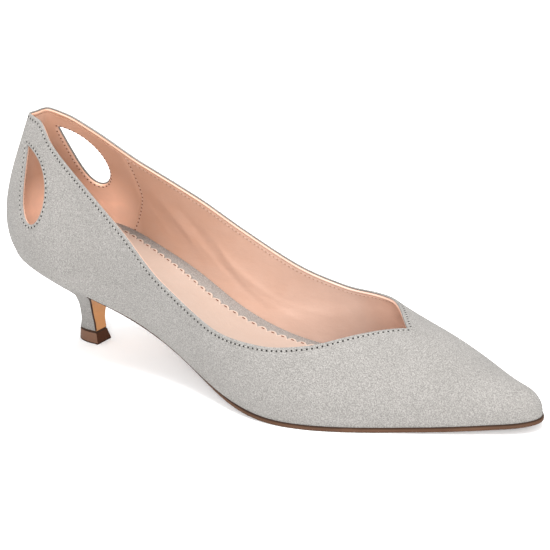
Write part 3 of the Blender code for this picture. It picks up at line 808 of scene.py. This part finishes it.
def stitch_row(name, path, normals, thread, hole, closed=False):
    """Threads and the holes between them along a path on the surface."""
    both = evenly(np.hstack([path, normals]), STITCH_PITCH / STITCH_STEPS, closed)
    threads, holes = ([], []), ([], [])
    for start in range(0, len(both) - STITCH_STEPS + 1, STITCH_STEPS):
        piece = both[start + 2:start + STITCH_STEPS - 1]
        points, facing = piece[:, :3], unit(piece[:, 3:])
        rise = np.sin(np.pi * np.linspace(0.0, 1.0, len(points)))
        points = points + facing * (THREAD_RADIUS * rise - THREAD_RADIUS * THREAD_SUNK)[:, None]
        add_part(threads, tube(points[::2], facing[::2], THREAD_RADIUS))
        along = unit(both[start + 1, :3] - both[start, :3])
        facing = unit(both[start, 3:])
        # Painted shade: a dark disc over each needle hole stands for the shade inside it
        add_part(holes, disc(both[start, :3] + facing * HOLE_LIFT, facing, along, HOLE_RADIUS, HOLE_THICK))
    row = mesh_object(name + "_thread", *threads, thread, 80.0)
    marks = mesh_object(name + "_holes", *holes, hole, 80.0)


def add_part(made, part):
    first = len(made[0])
    made[0].extend(part[0])
    made[1].extend([[first + i for i in face] for face in part[1]])


def collar_stitch_path(offset, lift):
    """A path so far inside the collar's edge, round the throat, and its normals."""
    around, share = collar_path(COLLAR_STITCH_STEP)
    edge = last.point(around, share)
    facing = last.outward(around, share)
    along = unit(np.gradient(edge, axis=0))
    into = unit(np.cross(facing, along))
    path = edge + into * offset
    corner = 9  # points round the throat
    turn = np.linspace(0.0, 1.0, corner)[1:-1, None]
    arc = unit(into[-1] * (1 - turn) + into[0] * turn)
    path = np.vstack([path, edge[-1] + arc * offset, path[:1]])
    facing = np.vstack([facing, np.repeat(facing[-1:], corner - 2, axis=0), facing[:1]])
    return path + facing * lift, facing


def tear_stitch_path(side, offset, lift):
    flat = tear_outline()
    places = tear_to_wall(side, flat + loop_normals(flat) * offset)
    points = last.point(places[:, 0], places[:, 1])
    facing = last.outward(places[:, 0], places[:, 1])
    return points + facing * lift, facing


def seam_stitch_path(side):
    """A path in front of the heel lining's edge."""
    level = np.linspace(*SEAM_ENDS, 60)
    around = side * (counter_front(level) + SEAM_STITCH_IN)
    share = np.array([lining_share(*place) for place in zip(around, level)])
    facing = last.outward(around, share)
    return last.point(around, share) - facing * LINING_IN, facing


def make_stitching(thread, lining_thread, hole, lining_hole_shade, faint_hole_shade):
    path, facing = collar_stitch_path(STITCH_IN, -COLLAR_SUNK)
    stitch_row("collar", path, facing, thread, hole)
    path, facing = collar_stitch_path(STITCH_IN_LINING, -LINING_IN)
    stitch_row("collar_inside", path, -facing, lining_thread, faint_hole_shade)
    for side, name in ((-1, "outer"), (1, "inner")):
        path, facing = tear_stitch_path(side, TEAR_STITCH_IN, -TEAR_SUNK)
        stitch_row(name + "_tear", path, facing, thread, hole, closed=True)
        path, facing = tear_stitch_path(side, TEAR_STITCH_IN_LINING, -LINING_IN - COUNTER_THICK)
        stitch_row(name + "_tear_inside", path, -facing, lining_thread, lining_hole_shade, closed=True)
        path, facing = seam_stitch_path(side)
        stitch_row(name + "_seam", path, -facing, lining_thread, lining_hole_shade)


# Bed of the shoe

def plan_line(around, inset):
    """The feather line moved inwards in plan. The places run from the tip by the outer side to the back."""
    step = 0.0004
    ahead = last.feather(np.minimum(around + step, last.half))[:, :2]
    behind = last.feather(np.maximum(around - step, -last.half))[:, :2]
    along = unit(ahead - behind)
    along[np.abs(around) > last.half - step] = (0.0, -1.0)
    inward = np.stack([along[:, 1], -along[:, 0]], axis=1)
    return last.feather(around)[:, :2] + inward * np.reshape(inset, (-1, 1))


def on_bed(flat, lift):
    height = last.bed_height(np.clip(flat[:, 0], 0.0, LENGTH)) + lift
    return np.column_stack([flat, height])


# Colours of the materials, as linear red, green and blue, from a dark to a light patch
SUEDES = (  # name, dark, light, sheen
    ("grey_suede", (0.205, 0.196, 0.184), (0.282, 0.270, 0.256), 0.06),
    ("grey_thread", (0.3075, 0.294, 0.276), (0.423, 0.405, 0.384), 0.06),
    ("insole_suede", (0.245, 0.220, 0.200), (0.300, 0.270, 0.250), 0.06),
    # The needle holes' near-black is painted shade
    ("stitch_hole_shade", (0.012, 0.011, 0.010), (0.022, 0.020, 0.019), 0.0),
)
PEACH_DARK = (0.44, 0.295, 0.235)
PEACH_LIGHT = (0.53, 0.38, 0.315)
PEACH_HEEL = (0.425, 0.235, 0.157)
HEEL_TONE_END = -0.085  # the heel's tone fades out between these places along the frame
HEEL_TONE_GONE = 0.05
LEATHERS = (  # name, dark, light, roughness, gloss
    ("peach_thread", PEACH_DARK, PEACH_LIGHT, 0.7, 0.5),
    ("sock_leather", (0.305, 0.222, 0.178), (0.335, 0.252, 0.208), 0.5, 0.5),
    ("sock_rim_highlight", (0.385, 0.295, 0.240), (0.420, 0.325, 0.270), 0.6, 0.5),
    ("tan_leather", (0.335, 0.137, 0.038), (0.415, 0.182, 0.055), 0.42, 0.5),
    ("sole_leather", (0.048, 0.022, 0.011), (0.075, 0.036, 0.019), 0.6, 0.15),
    ("sole_line", (0.026, 0.013, 0.008), (0.042, 0.021, 0.013), 0.7, 0.1),
    ("tip_rubber_painted_sheen", (0.100, 0.047, 0.026), (0.140, 0.068, 0.040), 0.6, 0.25),
    ("tip_front", (0.037, 0.013, 0.006), (0.055, 0.020, 0.009), 0.7, 0.1),
    # The next two colours are painted shade of needle holes and of the sock's slits
    ("lining_hole_shade", (0.100, 0.035, 0.018), (0.160, 0.060, 0.030), 0.8, 0.5),
    ("faint_hole_shade", (0.300, 0.180, 0.120), (0.360, 0.220, 0.160), 0.8, 0.5),
)
CUP_PAINTED_LIGHT = (0.88, 0.52, 0.37)  # painted light: paler low down at the very back of the cup
CUP_BACK, CUP_FRONT = -0.100, -0.086  # along the frame
CUP_LOW, CUP_HIGH = 0.056, 0.074
THROAT_PAINTED_LIGHT = (0.86, 0.50, 0.36)  # painted light: the lining under the throat, made paler against the vamp's shade
THROAT_START, THROAT_END = 0.030, 0.074  # along the frame


def make_node(tree, kind, inputs=None):
    made = tree.nodes.new(kind)
    for socket, value in (inputs or {}).items():
        if isinstance(value, bpy.types.NodeSocket):
            tree.links.new(value, made.inputs[socket])
        else:
            made.inputs[socket].default_value = value
    return made


def noise(tree, where, scale, detail, roughness=0.55):
    made = make_node(tree, "ShaderNodeTexNoise", {"Vector": where, "Scale": scale, "Detail": detail,
                                                  "Roughness": roughness})
    return made.outputs["Fac"]


def stretched(tree, where, scale):
    made = make_node(tree, "ShaderNodeMapping", {"Vector": where, "Scale": scale})
    return made.outputs["Vector"]


def spread(tree, value, low, high, to_low=0.0, to_high=1.0):
    made = make_node(tree, "ShaderNodeMapRange", {"Value": value, "From Min": low, "From Max": high,
                                                  "To Min": to_low, "To Max": to_high})
    return made.outputs["Result"]


def mix_colour(tree, amount, first, second):
    made = tree.nodes.new("ShaderNodeMix")
    made.data_type = "RGBA"
    for socket, value in zip((made.inputs[0], made.inputs[6], made.inputs[7]), (amount, first, second)):
        if isinstance(value, bpy.types.NodeSocket):
            tree.links.new(value, socket)
        elif isinstance(value, tuple):
            socket.default_value = (*value, 1.0)
        else:
            socket.default_value = value
    return made.outputs[2]


def add_bump(tree, height, distance, strength, before=None):
    inputs = {"Height": height, "Distance": distance, "Strength": strength}
    if before is not None:
        inputs["Normal"] = before
    return make_node(tree, "ShaderNodeBump", inputs).outputs["Normal"]


def start_material(name):
    material = bpy.data.materials.new(name)
    material.use_nodes = True
    tree = material.node_tree
    shader = tree.nodes["Principled BSDF"]
    where = make_node(tree, "ShaderNodeTexCoord").outputs["Object"]
    return material, tree, shader, where


def suede_material(name, dark, light, sheen):
    """A short brushed nap: soft patches, fine speckle and streaks, with no gloss."""
    material, tree, shader, where = start_material(name)
    patches = spread(tree, noise(tree, where, 55.0, 3.0), 0.3, 0.7, 0.3, 0.7)
    streaks = spread(tree, noise(tree, stretched(tree, where, (0.5, 1.0, 1.6)), 420.0, 4.0, 0.65), 0.3, 0.7)
    speckle = spread(tree, noise(tree, where, 2100.0, 2.0, 0.6), 0.34, 0.66)
    colour = mix_colour(tree, patches, dark, light)
    colour = mix_colour(tree, spread(tree, streaks, 0.0, 1.0, 0.0, 0.3), colour, light)
    darker = tuple(0.55 * c for c in dark)
    colour = mix_colour(tree, spread(tree, speckle, 0.0, 1.0, 0.85, 0.0), colour, darker)
    tree.links.new(colour, shader.inputs["Base Color"])
    shader.inputs["Roughness"].default_value = 0.95
    shader.inputs["Specular IOR Level"].default_value = 0.15
    shader.inputs["Sheen Weight"].default_value = sheen
    shader.inputs["Sheen Roughness"].default_value = 0.45
    normal = add_bump(tree, streaks, 0.0003, 0.15)
    normal = add_bump(tree, speckle, 0.0003, 0.6, normal)
    tree.links.new(normal, shader.inputs["Normal"])
    return material


def leather_material(name, dark, light, roughness=0.42, gloss=0.5, heel=None):
    """Smooth leather: faint cloudy colour, fine pores and soft pulls. heel is a deeper colour at the back."""
    material, tree, shader, where = start_material(name)
    clouds = spread(tree, noise(tree, where, 38.0, 4.0), 0.3, 0.7)
    pulls = spread(tree, noise(tree, stretched(tree, where, (0.6, 1.0, 1.0)), 170.0, 3.0), 0.3, 0.7)
    pores = noise(tree, where, 2600.0, 2.0, 0.6)
    colour = mix_colour(tree, clouds, dark, light)
    if heel is not None:
        along, _, height = make_node(tree, "ShaderNodeSeparateXYZ", {"Vector": where}).outputs
        # Painted light: the low back of the heel's cup is made paler, for light that barely reaches it
        cup = mix_colour(tree, spread(tree, along, CUP_BACK, CUP_FRONT), CUP_PAINTED_LIGHT, heel)
        cup = mix_colour(tree, spread(tree, height, CUP_LOW, CUP_HIGH), cup, heel)
        colour = mix_colour(tree, spread(tree, along, HEEL_TONE_END, HEEL_TONE_GONE), cup, colour)
        # Painted light: the lining in the vamp's shade is made paler towards the throat
        colour = mix_colour(tree, spread(tree, along, THROAT_START, THROAT_END), colour, THROAT_PAINTED_LIGHT)
    colour = mix_colour(tree, spread(tree, pulls, 0.0, 1.0, 0.0, 0.25), colour, dark)
    tree.links.new(colour, shader.inputs["Base Color"])
    shader.inputs["Specular IOR Level"].default_value = gloss
    rough = spread(tree, pulls, 0.0, 1.0, roughness - 0.06, roughness + 0.08)
    tree.links.new(rough, shader.inputs["Roughness"])
    normal = add_bump(tree, pulls, 0.0006, 0.18)
    normal = add_bump(tree, pores, 0.00005, 0.5, normal)
    tree.links.new(normal, shader.inputs["Normal"])
    return material


def plain_floor():
    floor = bpy.data.meshes.new("floor")
    size = 4.0
    corners = [(-size, -size, 0), (size, -size, 0), (size, size, 0), (-size, size, 0)]
    floor.from_pydata(corners, [], [(0, 1, 2, 3)])
    thing = bpy.data.objects.new("floor", floor)
    bpy.context.collection.objects.link(thing)
    material = bpy.data.materials.new("floor_paper")
    material.use_nodes = True
    shader = material.node_tree.nodes["Principled BSDF"]
    shader.inputs["Base Color"].default_value = (0.93, 0.93, 0.93, 1.0)
    shader.inputs["Roughness"].default_value = 1.0
    shader.inputs["Specular IOR Level"].default_value = 0.0
    shader.inputs["Emission Color"].default_value = (1.0, 1.0, 1.0, 1.0)
    shader.inputs["Emission Strength"].default_value = 0.10
    floor.materials.append(material)


# Camera of the photograph, round a point of the last's own frame
CAMERA_TURN = math.radians(37.73)
CAMERA_UP = math.radians(20.85)
CAMERA_ROLL = math.radians(-5.92)
CAMERA_AWAY = 0.7865
CAMERA_FOCAL = 1870.0  # in pixels of the frame
FRAME_PIXELS = 550.0
SENSOR = 36.0
CAMERA_AIM = (0.131, 0.0, 0.040)
CAMERA_RIGHT = 0.00643
CAMERA_RAISE = 0.00499


def make_camera():
    sin_a, cos_a = math.sin(CAMERA_TURN), math.cos(CAMERA_TURN)
    sin_e, cos_e = math.sin(CAMERA_UP), math.cos(CAMERA_UP)
    back = Vector((sin_a * cos_e, -cos_a * cos_e, sin_e))
    level = Vector((cos_a, sin_a, 0.0))
    upright = back.cross(level)
    right = level * math.cos(CAMERA_ROLL) + upright * math.sin(CAMERA_ROLL)
    up = upright * math.cos(CAMERA_ROLL) - level * math.sin(CAMERA_ROLL)
    aim = Vector(CAMERA_AIM) + right * CAMERA_RIGHT + up * CAMERA_RAISE + Vector(SHIFT)
    camera = bpy.data.objects.new("camera", bpy.data.cameras.new("camera"))
    bpy.context.collection.objects.link(camera)
    camera.data.sensor_width = SENSOR
    camera.data.lens = CAMERA_FOCAL / FRAME_PIXELS * SENSOR
    turned = Matrix((right, up, back)).transposed().to_4x4()
    camera.matrix_world = Matrix.Translation(aim + back * CAMERA_AWAY) @ turned
    bpy.context.scene.camera = camera


def add_light(name, place, target, size, power):
    light = bpy.data.lights.new(name, "AREA")
    light.shape = "SQUARE"
    light.size = size
    light.energy = power
    thing = bpy.data.objects.new(name, light)
    bpy.context.collection.objects.link(thing)
    thing.location = place
    thing.rotation_mode = "QUATERNION"
    thing.rotation_quaternion = (Vector(target) - Vector(place)).to_track_quat("-Z", "Y")


def make_light():
    world = bpy.data.worlds.new("studio")
    world.use_nodes = True
    world.node_tree.nodes["Background"].inputs["Color"].default_value = (1.0, 1.0, 1.0, 1.0)
    world.node_tree.nodes["Background"].inputs["Strength"].default_value = 1.2
    bpy.context.scene.world = world
    add_light("key", (0.1, -0.05, 1.7), (0.0, 0.0, 0.05), 0.9, 44.0)
    add_light("front", (0.80, -1.05, 0.50), (-0.02, 0.0, 0.05), 0.45, 18.0)


# Heel and sole

def stem_outline(grow, front_points, back_points):
    """The heel's foot in plan: across the front from the inner side, then round the back."""
    front = TOP_PIECE_FRONT + grow
    back = TOP_PIECE_FRONT - TOP_PIECE_LENGTH - grow
    half = TOP_PIECE_WIDTH / 2 + grow
    bend = front - TOP_PIECE_STRAIGHT
    t = np.linspace(0.0, math.pi, back_points)
    x = np.concatenate([np.full(front_points, front), bend - (bend - back) * np.sin(t)])
    y = np.concatenate([np.linspace(half, -half, front_points), -half * np.cos(t)])
    middle = (front + back) / 2
    return np.stack([middle + (x - middle) * math.cos(HEEL_TURN) + y * math.sin(HEEL_TURN),
                     y * math.cos(HEEL_TURN) - (x - middle) * math.sin(HEEL_TURN) - STEM_OUT], axis=1)


def seat_outline(front_points, back_points):
    """The heel's top in plan, in the same order as stem_outline."""
    front = last.around_where(0, BREAST_ALONG - GAP)
    ends = last.feather(np.array([front, -front]))[:, :2]
    t = np.linspace(0.0, 1.0, front_points)[:, None]
    back = last.feather(np.linspace(-front, front, back_points))[:, :2]
    return np.vstack([ends[0] + (ends[1] - ends[0]) * t, back])


heel_table = np.array(HEEL_SECTIONS)
heel_curves = [monotone_curve(heel_table[:, 0], column) for column in heel_table[:, 1:].T]


def heel_ring(up, top_gap=GAP):
    """The heel's outline at a share of the way from the stem's foot to the seat."""
    stem = stem_outline(-TOP_PIECE_FLARE, HEEL_FRONT_POINTS, HEEL_BACK_POINTS)
    seat = seat_outline(HEEL_FRONT_POINTS, HEEL_BACK_POINTS)
    foot = TOP_PIECE_HEIGHT
    t = np.sin(np.pi * np.linspace(0.0, 1.0, HEEL_BACK_POINTS))
    behind = np.concatenate([np.zeros(HEEL_FRONT_POINTS), smooth_step(t, 0.0, BACK_BLEND)])
    back, side, corner, front = (curve(up) for curve in heel_curves)
    forward = front + (back - front) * behind
    sideways = corner + (side - corner) * behind
    ceiling = last.bed_height(seat[:, 0]) - top_gap
    return np.stack([stem[:, 0] + (seat[:, 0] - stem[:, 0]) * forward,
                     stem[:, 1] + (seat[:, 1] - stem[:, 1]) * sideways,
                     foot + up * (ceiling - foot)], axis=1)


def band_faces(first, second, count, closed=True):
    """Faces between two rows of points that start at first and second."""
    ends = count if closed else count - 1
    return [[first + i, first + (i + 1) % count, second + (i + 1) % count, second + i] for i in range(ends)]


def stack(name, rings, material, smooth_angle):
    """A closed body from rings of points, the lowest first, with a fan at both ends."""
    count = len(rings[0])
    points = np.vstack(rings + [rings[0].mean(axis=0)[None], rings[-1].mean(axis=0)[None]])
    low, high, last_ring = len(points) - 2, len(points) - 1, len(points) - 2 - count
    faces = []
    for first in range(0, last_ring, count):
        faces += [face[::-1] for face in band_faces(first, first + count, count)]
    for i in range(count):
        j = (i + 1) % count
        faces.append([low, i, j])
        faces.append([high, last_ring + j, last_ring + i])
    return mesh_object(name, points, faces, material, smooth_angle)


def make_heel(suede, tan):
    rings = [heel_ring(up, 0.0) for up in np.linspace(0.0, 1.0, HEEL_RINGS)]
    middle = rings[-1].mean(axis=0)
    tucked = middle + (rings[-1] - middle) * SEAT_NARROW
    tucked[:, 2] = rings[-1][:, 2] + SEAT_TUCK
    heel = stack("heel_suede", rings + [tucked], suede, 40.0)
    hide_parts("heel")
    front = np.vstack([ring[:HEEL_FRONT_POINTS] for ring in rings])
    faces = []
    for first in range(0, len(front) - HEEL_FRONT_POINTS, HEEL_FRONT_POINTS):
        faces += band_faces(first, first + HEEL_FRONT_POINTS, HEEL_FRONT_POINTS, False)
    out = np.array([BREAST_PROUD, 0.0, 0.0])
    cover = closed_body("breast_leather", front + out, front - out, faces, tan, 40.0)
    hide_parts("breast_cover")


def make_breast_edges(brown):
    """The dark cut edges of the breast's leather, down both sides and along its top."""
    rings = np.array([heel_ring(up)[:HEEL_FRONT_POINTS] for up in np.linspace(*BREAST_EDGE_ENDS, HEEL_RINGS)])
    made = ([], [])
    for path, edge in ((rings[:, 0], "inner"), (rings[:, -1], "outer"), (rings[-1], "top")):
        along = unit(np.gradient(path, axis=0))
        facing = np.array([1.0, 0.0, 0.0]) - along[:, :1] * along
        add_part(made, tube(path, unit(facing), BREAST_EDGES[edge]))
    edges = mesh_object("breast_edges", *made, brown, 80.0)


def make_top_piece(sheen_rubber, front_rubber, dark):
    """The heel's tip, with a flared foot, bevelled edges and a dark joint above it."""
    rings = []
    for row in TIP_PROFILE:
        flat = stem_outline(row.grow, HEEL_FRONT_POINTS, HEEL_BACK_POINTS)
        rings.append(np.column_stack([flat, np.full(len(flat), row.height)]))
    piece = stack("heel_tip", rings, sheen_rubber, 35.0)
    piece.data.materials.append(front_rubber)
    piece.data.materials.append(dark)
    # Painted sheen: all faces but the front ones take a lighter copy of the tip's colour, for light they
    # reflect
    for face in piece.data.polygons:
        if face.normal.x > TIP_FRONT_FACING:
            face.material_index = 1
        if face.center.z > TIP_JOINT or face.center.z < TIP_BEVEL:
            face.material_index = 2
    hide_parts("top_piece")


def find_shift():
    """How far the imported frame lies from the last's own frame."""
    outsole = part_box("outsole")
    foot = stem_outline(0.0, *PART_STEM_POINTS)
    return np.array([outsole[1].x - LENGTH - SOLE_EDGE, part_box("top_piece")[0].y - foot[:, 1].min(), 0.0])


SHIFT = find_shift()


def plate(name, loops, material):
    """A flat body from closed loops of points, from its under side over its rim to its top. Each loop runs
    from the tip by the outer side and the back to the tip, and strips across close its two faces."""
    count = len(loops[0])
    faces = []
    for r in range(len(loops) - 1):
        faces += band_faces(r * count, (r + 1) * count, count)
    for first, turned in ((0, True), ((len(loops) - 1) * count, False)):
        for i in range(count // 2):
            face = [first + i, first + i + 1, first + (count - i - 1) % count, first + (count - i) % count]
            face = list(dict.fromkeys(face))
            if len(face) > 2:
                faces.append(face[::-1] if turned else face)
    return mesh_object(name, np.vstack(loops), faces, material, 40.0)


def make_insole(board):
    """The insole's grey cover, which shows round the sock."""
    around = np.linspace(-last.half, last.half, BED_POINTS + 1)[:-1]
    inset = WALL - PLATE_EDGE
    edge = plan_line(around, inset)
    loops = [on_bed(edge, PLATE_EDGE), on_bed(edge, INSOLE_THICK - PLATE_EDGE)]
    loops.append(on_bed(plan_line(around, inset + 2 * PLATE_EDGE), INSOLE_THICK))
    loops += [narrowed(loops[-1], share) for share in BED_STRIPS]
    cover = plate("insole_cover", loops, board)
    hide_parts("insole")


def sock_margin(along):
    """How far the sock's edge lies inside the wall's outer face, more at the waist."""
    waist = bump(along, SOCK_WAIST_ALONG, SOCK_WAIST_REACH)
    return WALL + GAP + SOCK_INSET + SOCK_WAIST * waist


def make_sock(peach, rim_highlight, hole):
    """The sock, with a scalloped edge, a painted highlight along its rim, and a slit in each scallop."""
    fine = np.linspace(-last.half, last.half, 4000)
    margin = sock_margin(last.feather(fine)[:, 0])
    lengths = travelled(plan_line(fine, margin))
    scallops = int(round(lengths[-1] / SCALLOP_PITCH))
    total = scallops * SCALLOP_POINTS
    around = np.interp(np.linspace(0.0, lengths[-1], total + 1), lengths, fine)[:-1]
    wave = 1 - np.abs(np.sin(np.arange(total) * math.pi / SCALLOP_POINTS)) ** SCALLOP_POWER

    def loop(extra, lift, scalloped=1.0):
        inset = sock_margin(last.feather(around)[:, 0]) + extra + scalloped * SCALLOP_DEPTH * wave
        return on_bed(plan_line(around, inset), lift)

    top = INSOLE_THICK + GAP + SOCK_THICK
    loops = [loop(0.0, INSOLE_THICK - PLATE_EDGE / 2), loop(0.0, top - 1.5 * PLATE_EDGE)]
    loops.append(loop(PLATE_EDGE, top))
    loops.append(loop(PLATE_EDGE + HIGHLIGHT_RIM, top))
    loops.append(loop(2 * SCALLOP_DEPTH, top, 0.0))
    loops += [narrowed(loops[-1], share) for share in BED_STRIPS]
    sock = plate("sock", loops, peach)
    sock.data.materials.append(rim_highlight)
    # Painted highlight: the rounded edge and the rim take the paler leather, for light caught by the raised
    # rim
    for face in sock.data.polygons[total:3 * total]:
        face.material_index = 1
    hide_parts("sock_lining")
    slits = ([], [])
    line = loop(SLIT_ACROSS * SCALLOP_DEPTH, top, 0.0)
    for k in range(scallops):
        i = k * SCALLOP_POINTS + SCALLOP_POINTS // 2
        along = unit(line[(i + 1) % total] - line[i - 1])
        up = unit(np.array([-along[0] * along[2], -along[1] * along[2], 1 - along[2] ** 2]))
        path = line[i] + np.outer(np.linspace(-0.5, 0.5, 5), along) * SLIT_LENGTH - up * SLIT_SUNK
        # Painted shade: each slit is a dark tube standing for the shade inside the cut
        add_part(slits, tube(path, np.repeat(up[None], 5, axis=0), SLIT_RADIUS))
    marks = mesh_object("sock_slits", *slits, hole, 80.0)


def narrowed(loop, share):
    """The loop drawn in towards the middle line of the bed."""
    mirror = np.roll(loop[::-1], 1, axis=0)
    return loop + ((loop + mirror) / 2 - loop) * share


def make_sole(leather, dark_line):
    start = last.around_where(0, BREAST_ALONG)
    around = np.concatenate([-np.linspace(last.half, start, SOLE_POINTS),
                             np.linspace(start, last.half, SOLE_POINTS)])[:-1]
    forepart = smooth_step(last.feather(around)[:, 0], SHANK_END, SOLE_START)

    def loop(out, level):
        flat = plan_line(around, SHANK_INSET - SHANK_INSET * forepart - out)
        x = np.clip(flat[:, 0], BREAST_ALONG, LENGTH)
        top = last.bed_height(x) - GAP
        thick = SHANK_THICK + (SOLE_THICK - SHANK_THICK) * smooth_step(x, SHANK_END, SOLE_START)
        low = np.maximum(top - thick, 0.0)
        return np.column_stack([flat, low + (top - low) * level])

    def blended(values):
        return values["shank"] + (values["forepart"] - values["shank"]) * forepart

    edge = SOLE_EDGE * forepart
    loops = [loop(edge + row.out, row.level) for row in SOLE_PROFILE]
    sole = plate("outsole_leather", loops, leather)
    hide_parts("outsole")
    # Painted shade: a dark band over the top of the sole's edge, and over the whole shank edge
    foot, face, deep = blended(SOLE_LINE_FOOT), edge + blended(SOLE_LINE_PROUD), edge - SOLE_LINE_DEEP
    loops = [loop(deep, foot), loop(face, foot), loop(face, 1.0), loop(deep, 1.05)]
    line = plate("sole_edge_line", loops, dark_line)


def main():
    bpy.context.scene.view_settings.view_transform = "Standard"
    suede = {row[0]: suede_material(*row) for row in SUEDES}
    leather = {row[0]: leather_material(*row) for row in LEATHERS}
    peach = leather_material("peach_leather", PEACH_DARK, PEACH_LIGHT, heel=PEACH_HEEL)
    make_upper(suede["grey_suede"], peach)
    make_counter_lining(peach)
    make_stitching(suede["grey_thread"], leather["peach_thread"],
                   suede["stitch_hole_shade"], leather["lining_hole_shade"], leather["faint_hole_shade"])
    make_insole(suede["insole_suede"])
    make_sock(leather["sock_leather"], leather["sock_rim_highlight"], leather["lining_hole_shade"])
    make_sole(leather["sole_leather"], leather["sole_line"])
    make_heel(suede["grey_suede"], leather["tan_leather"])
    make_breast_edges(leather["sole_line"])
    make_top_piece(leather["tip_rubber_painted_sheen"], leather["tip_front"], leather["sole_line"])
    plain_floor()
    make_light()
    make_camera()


main()
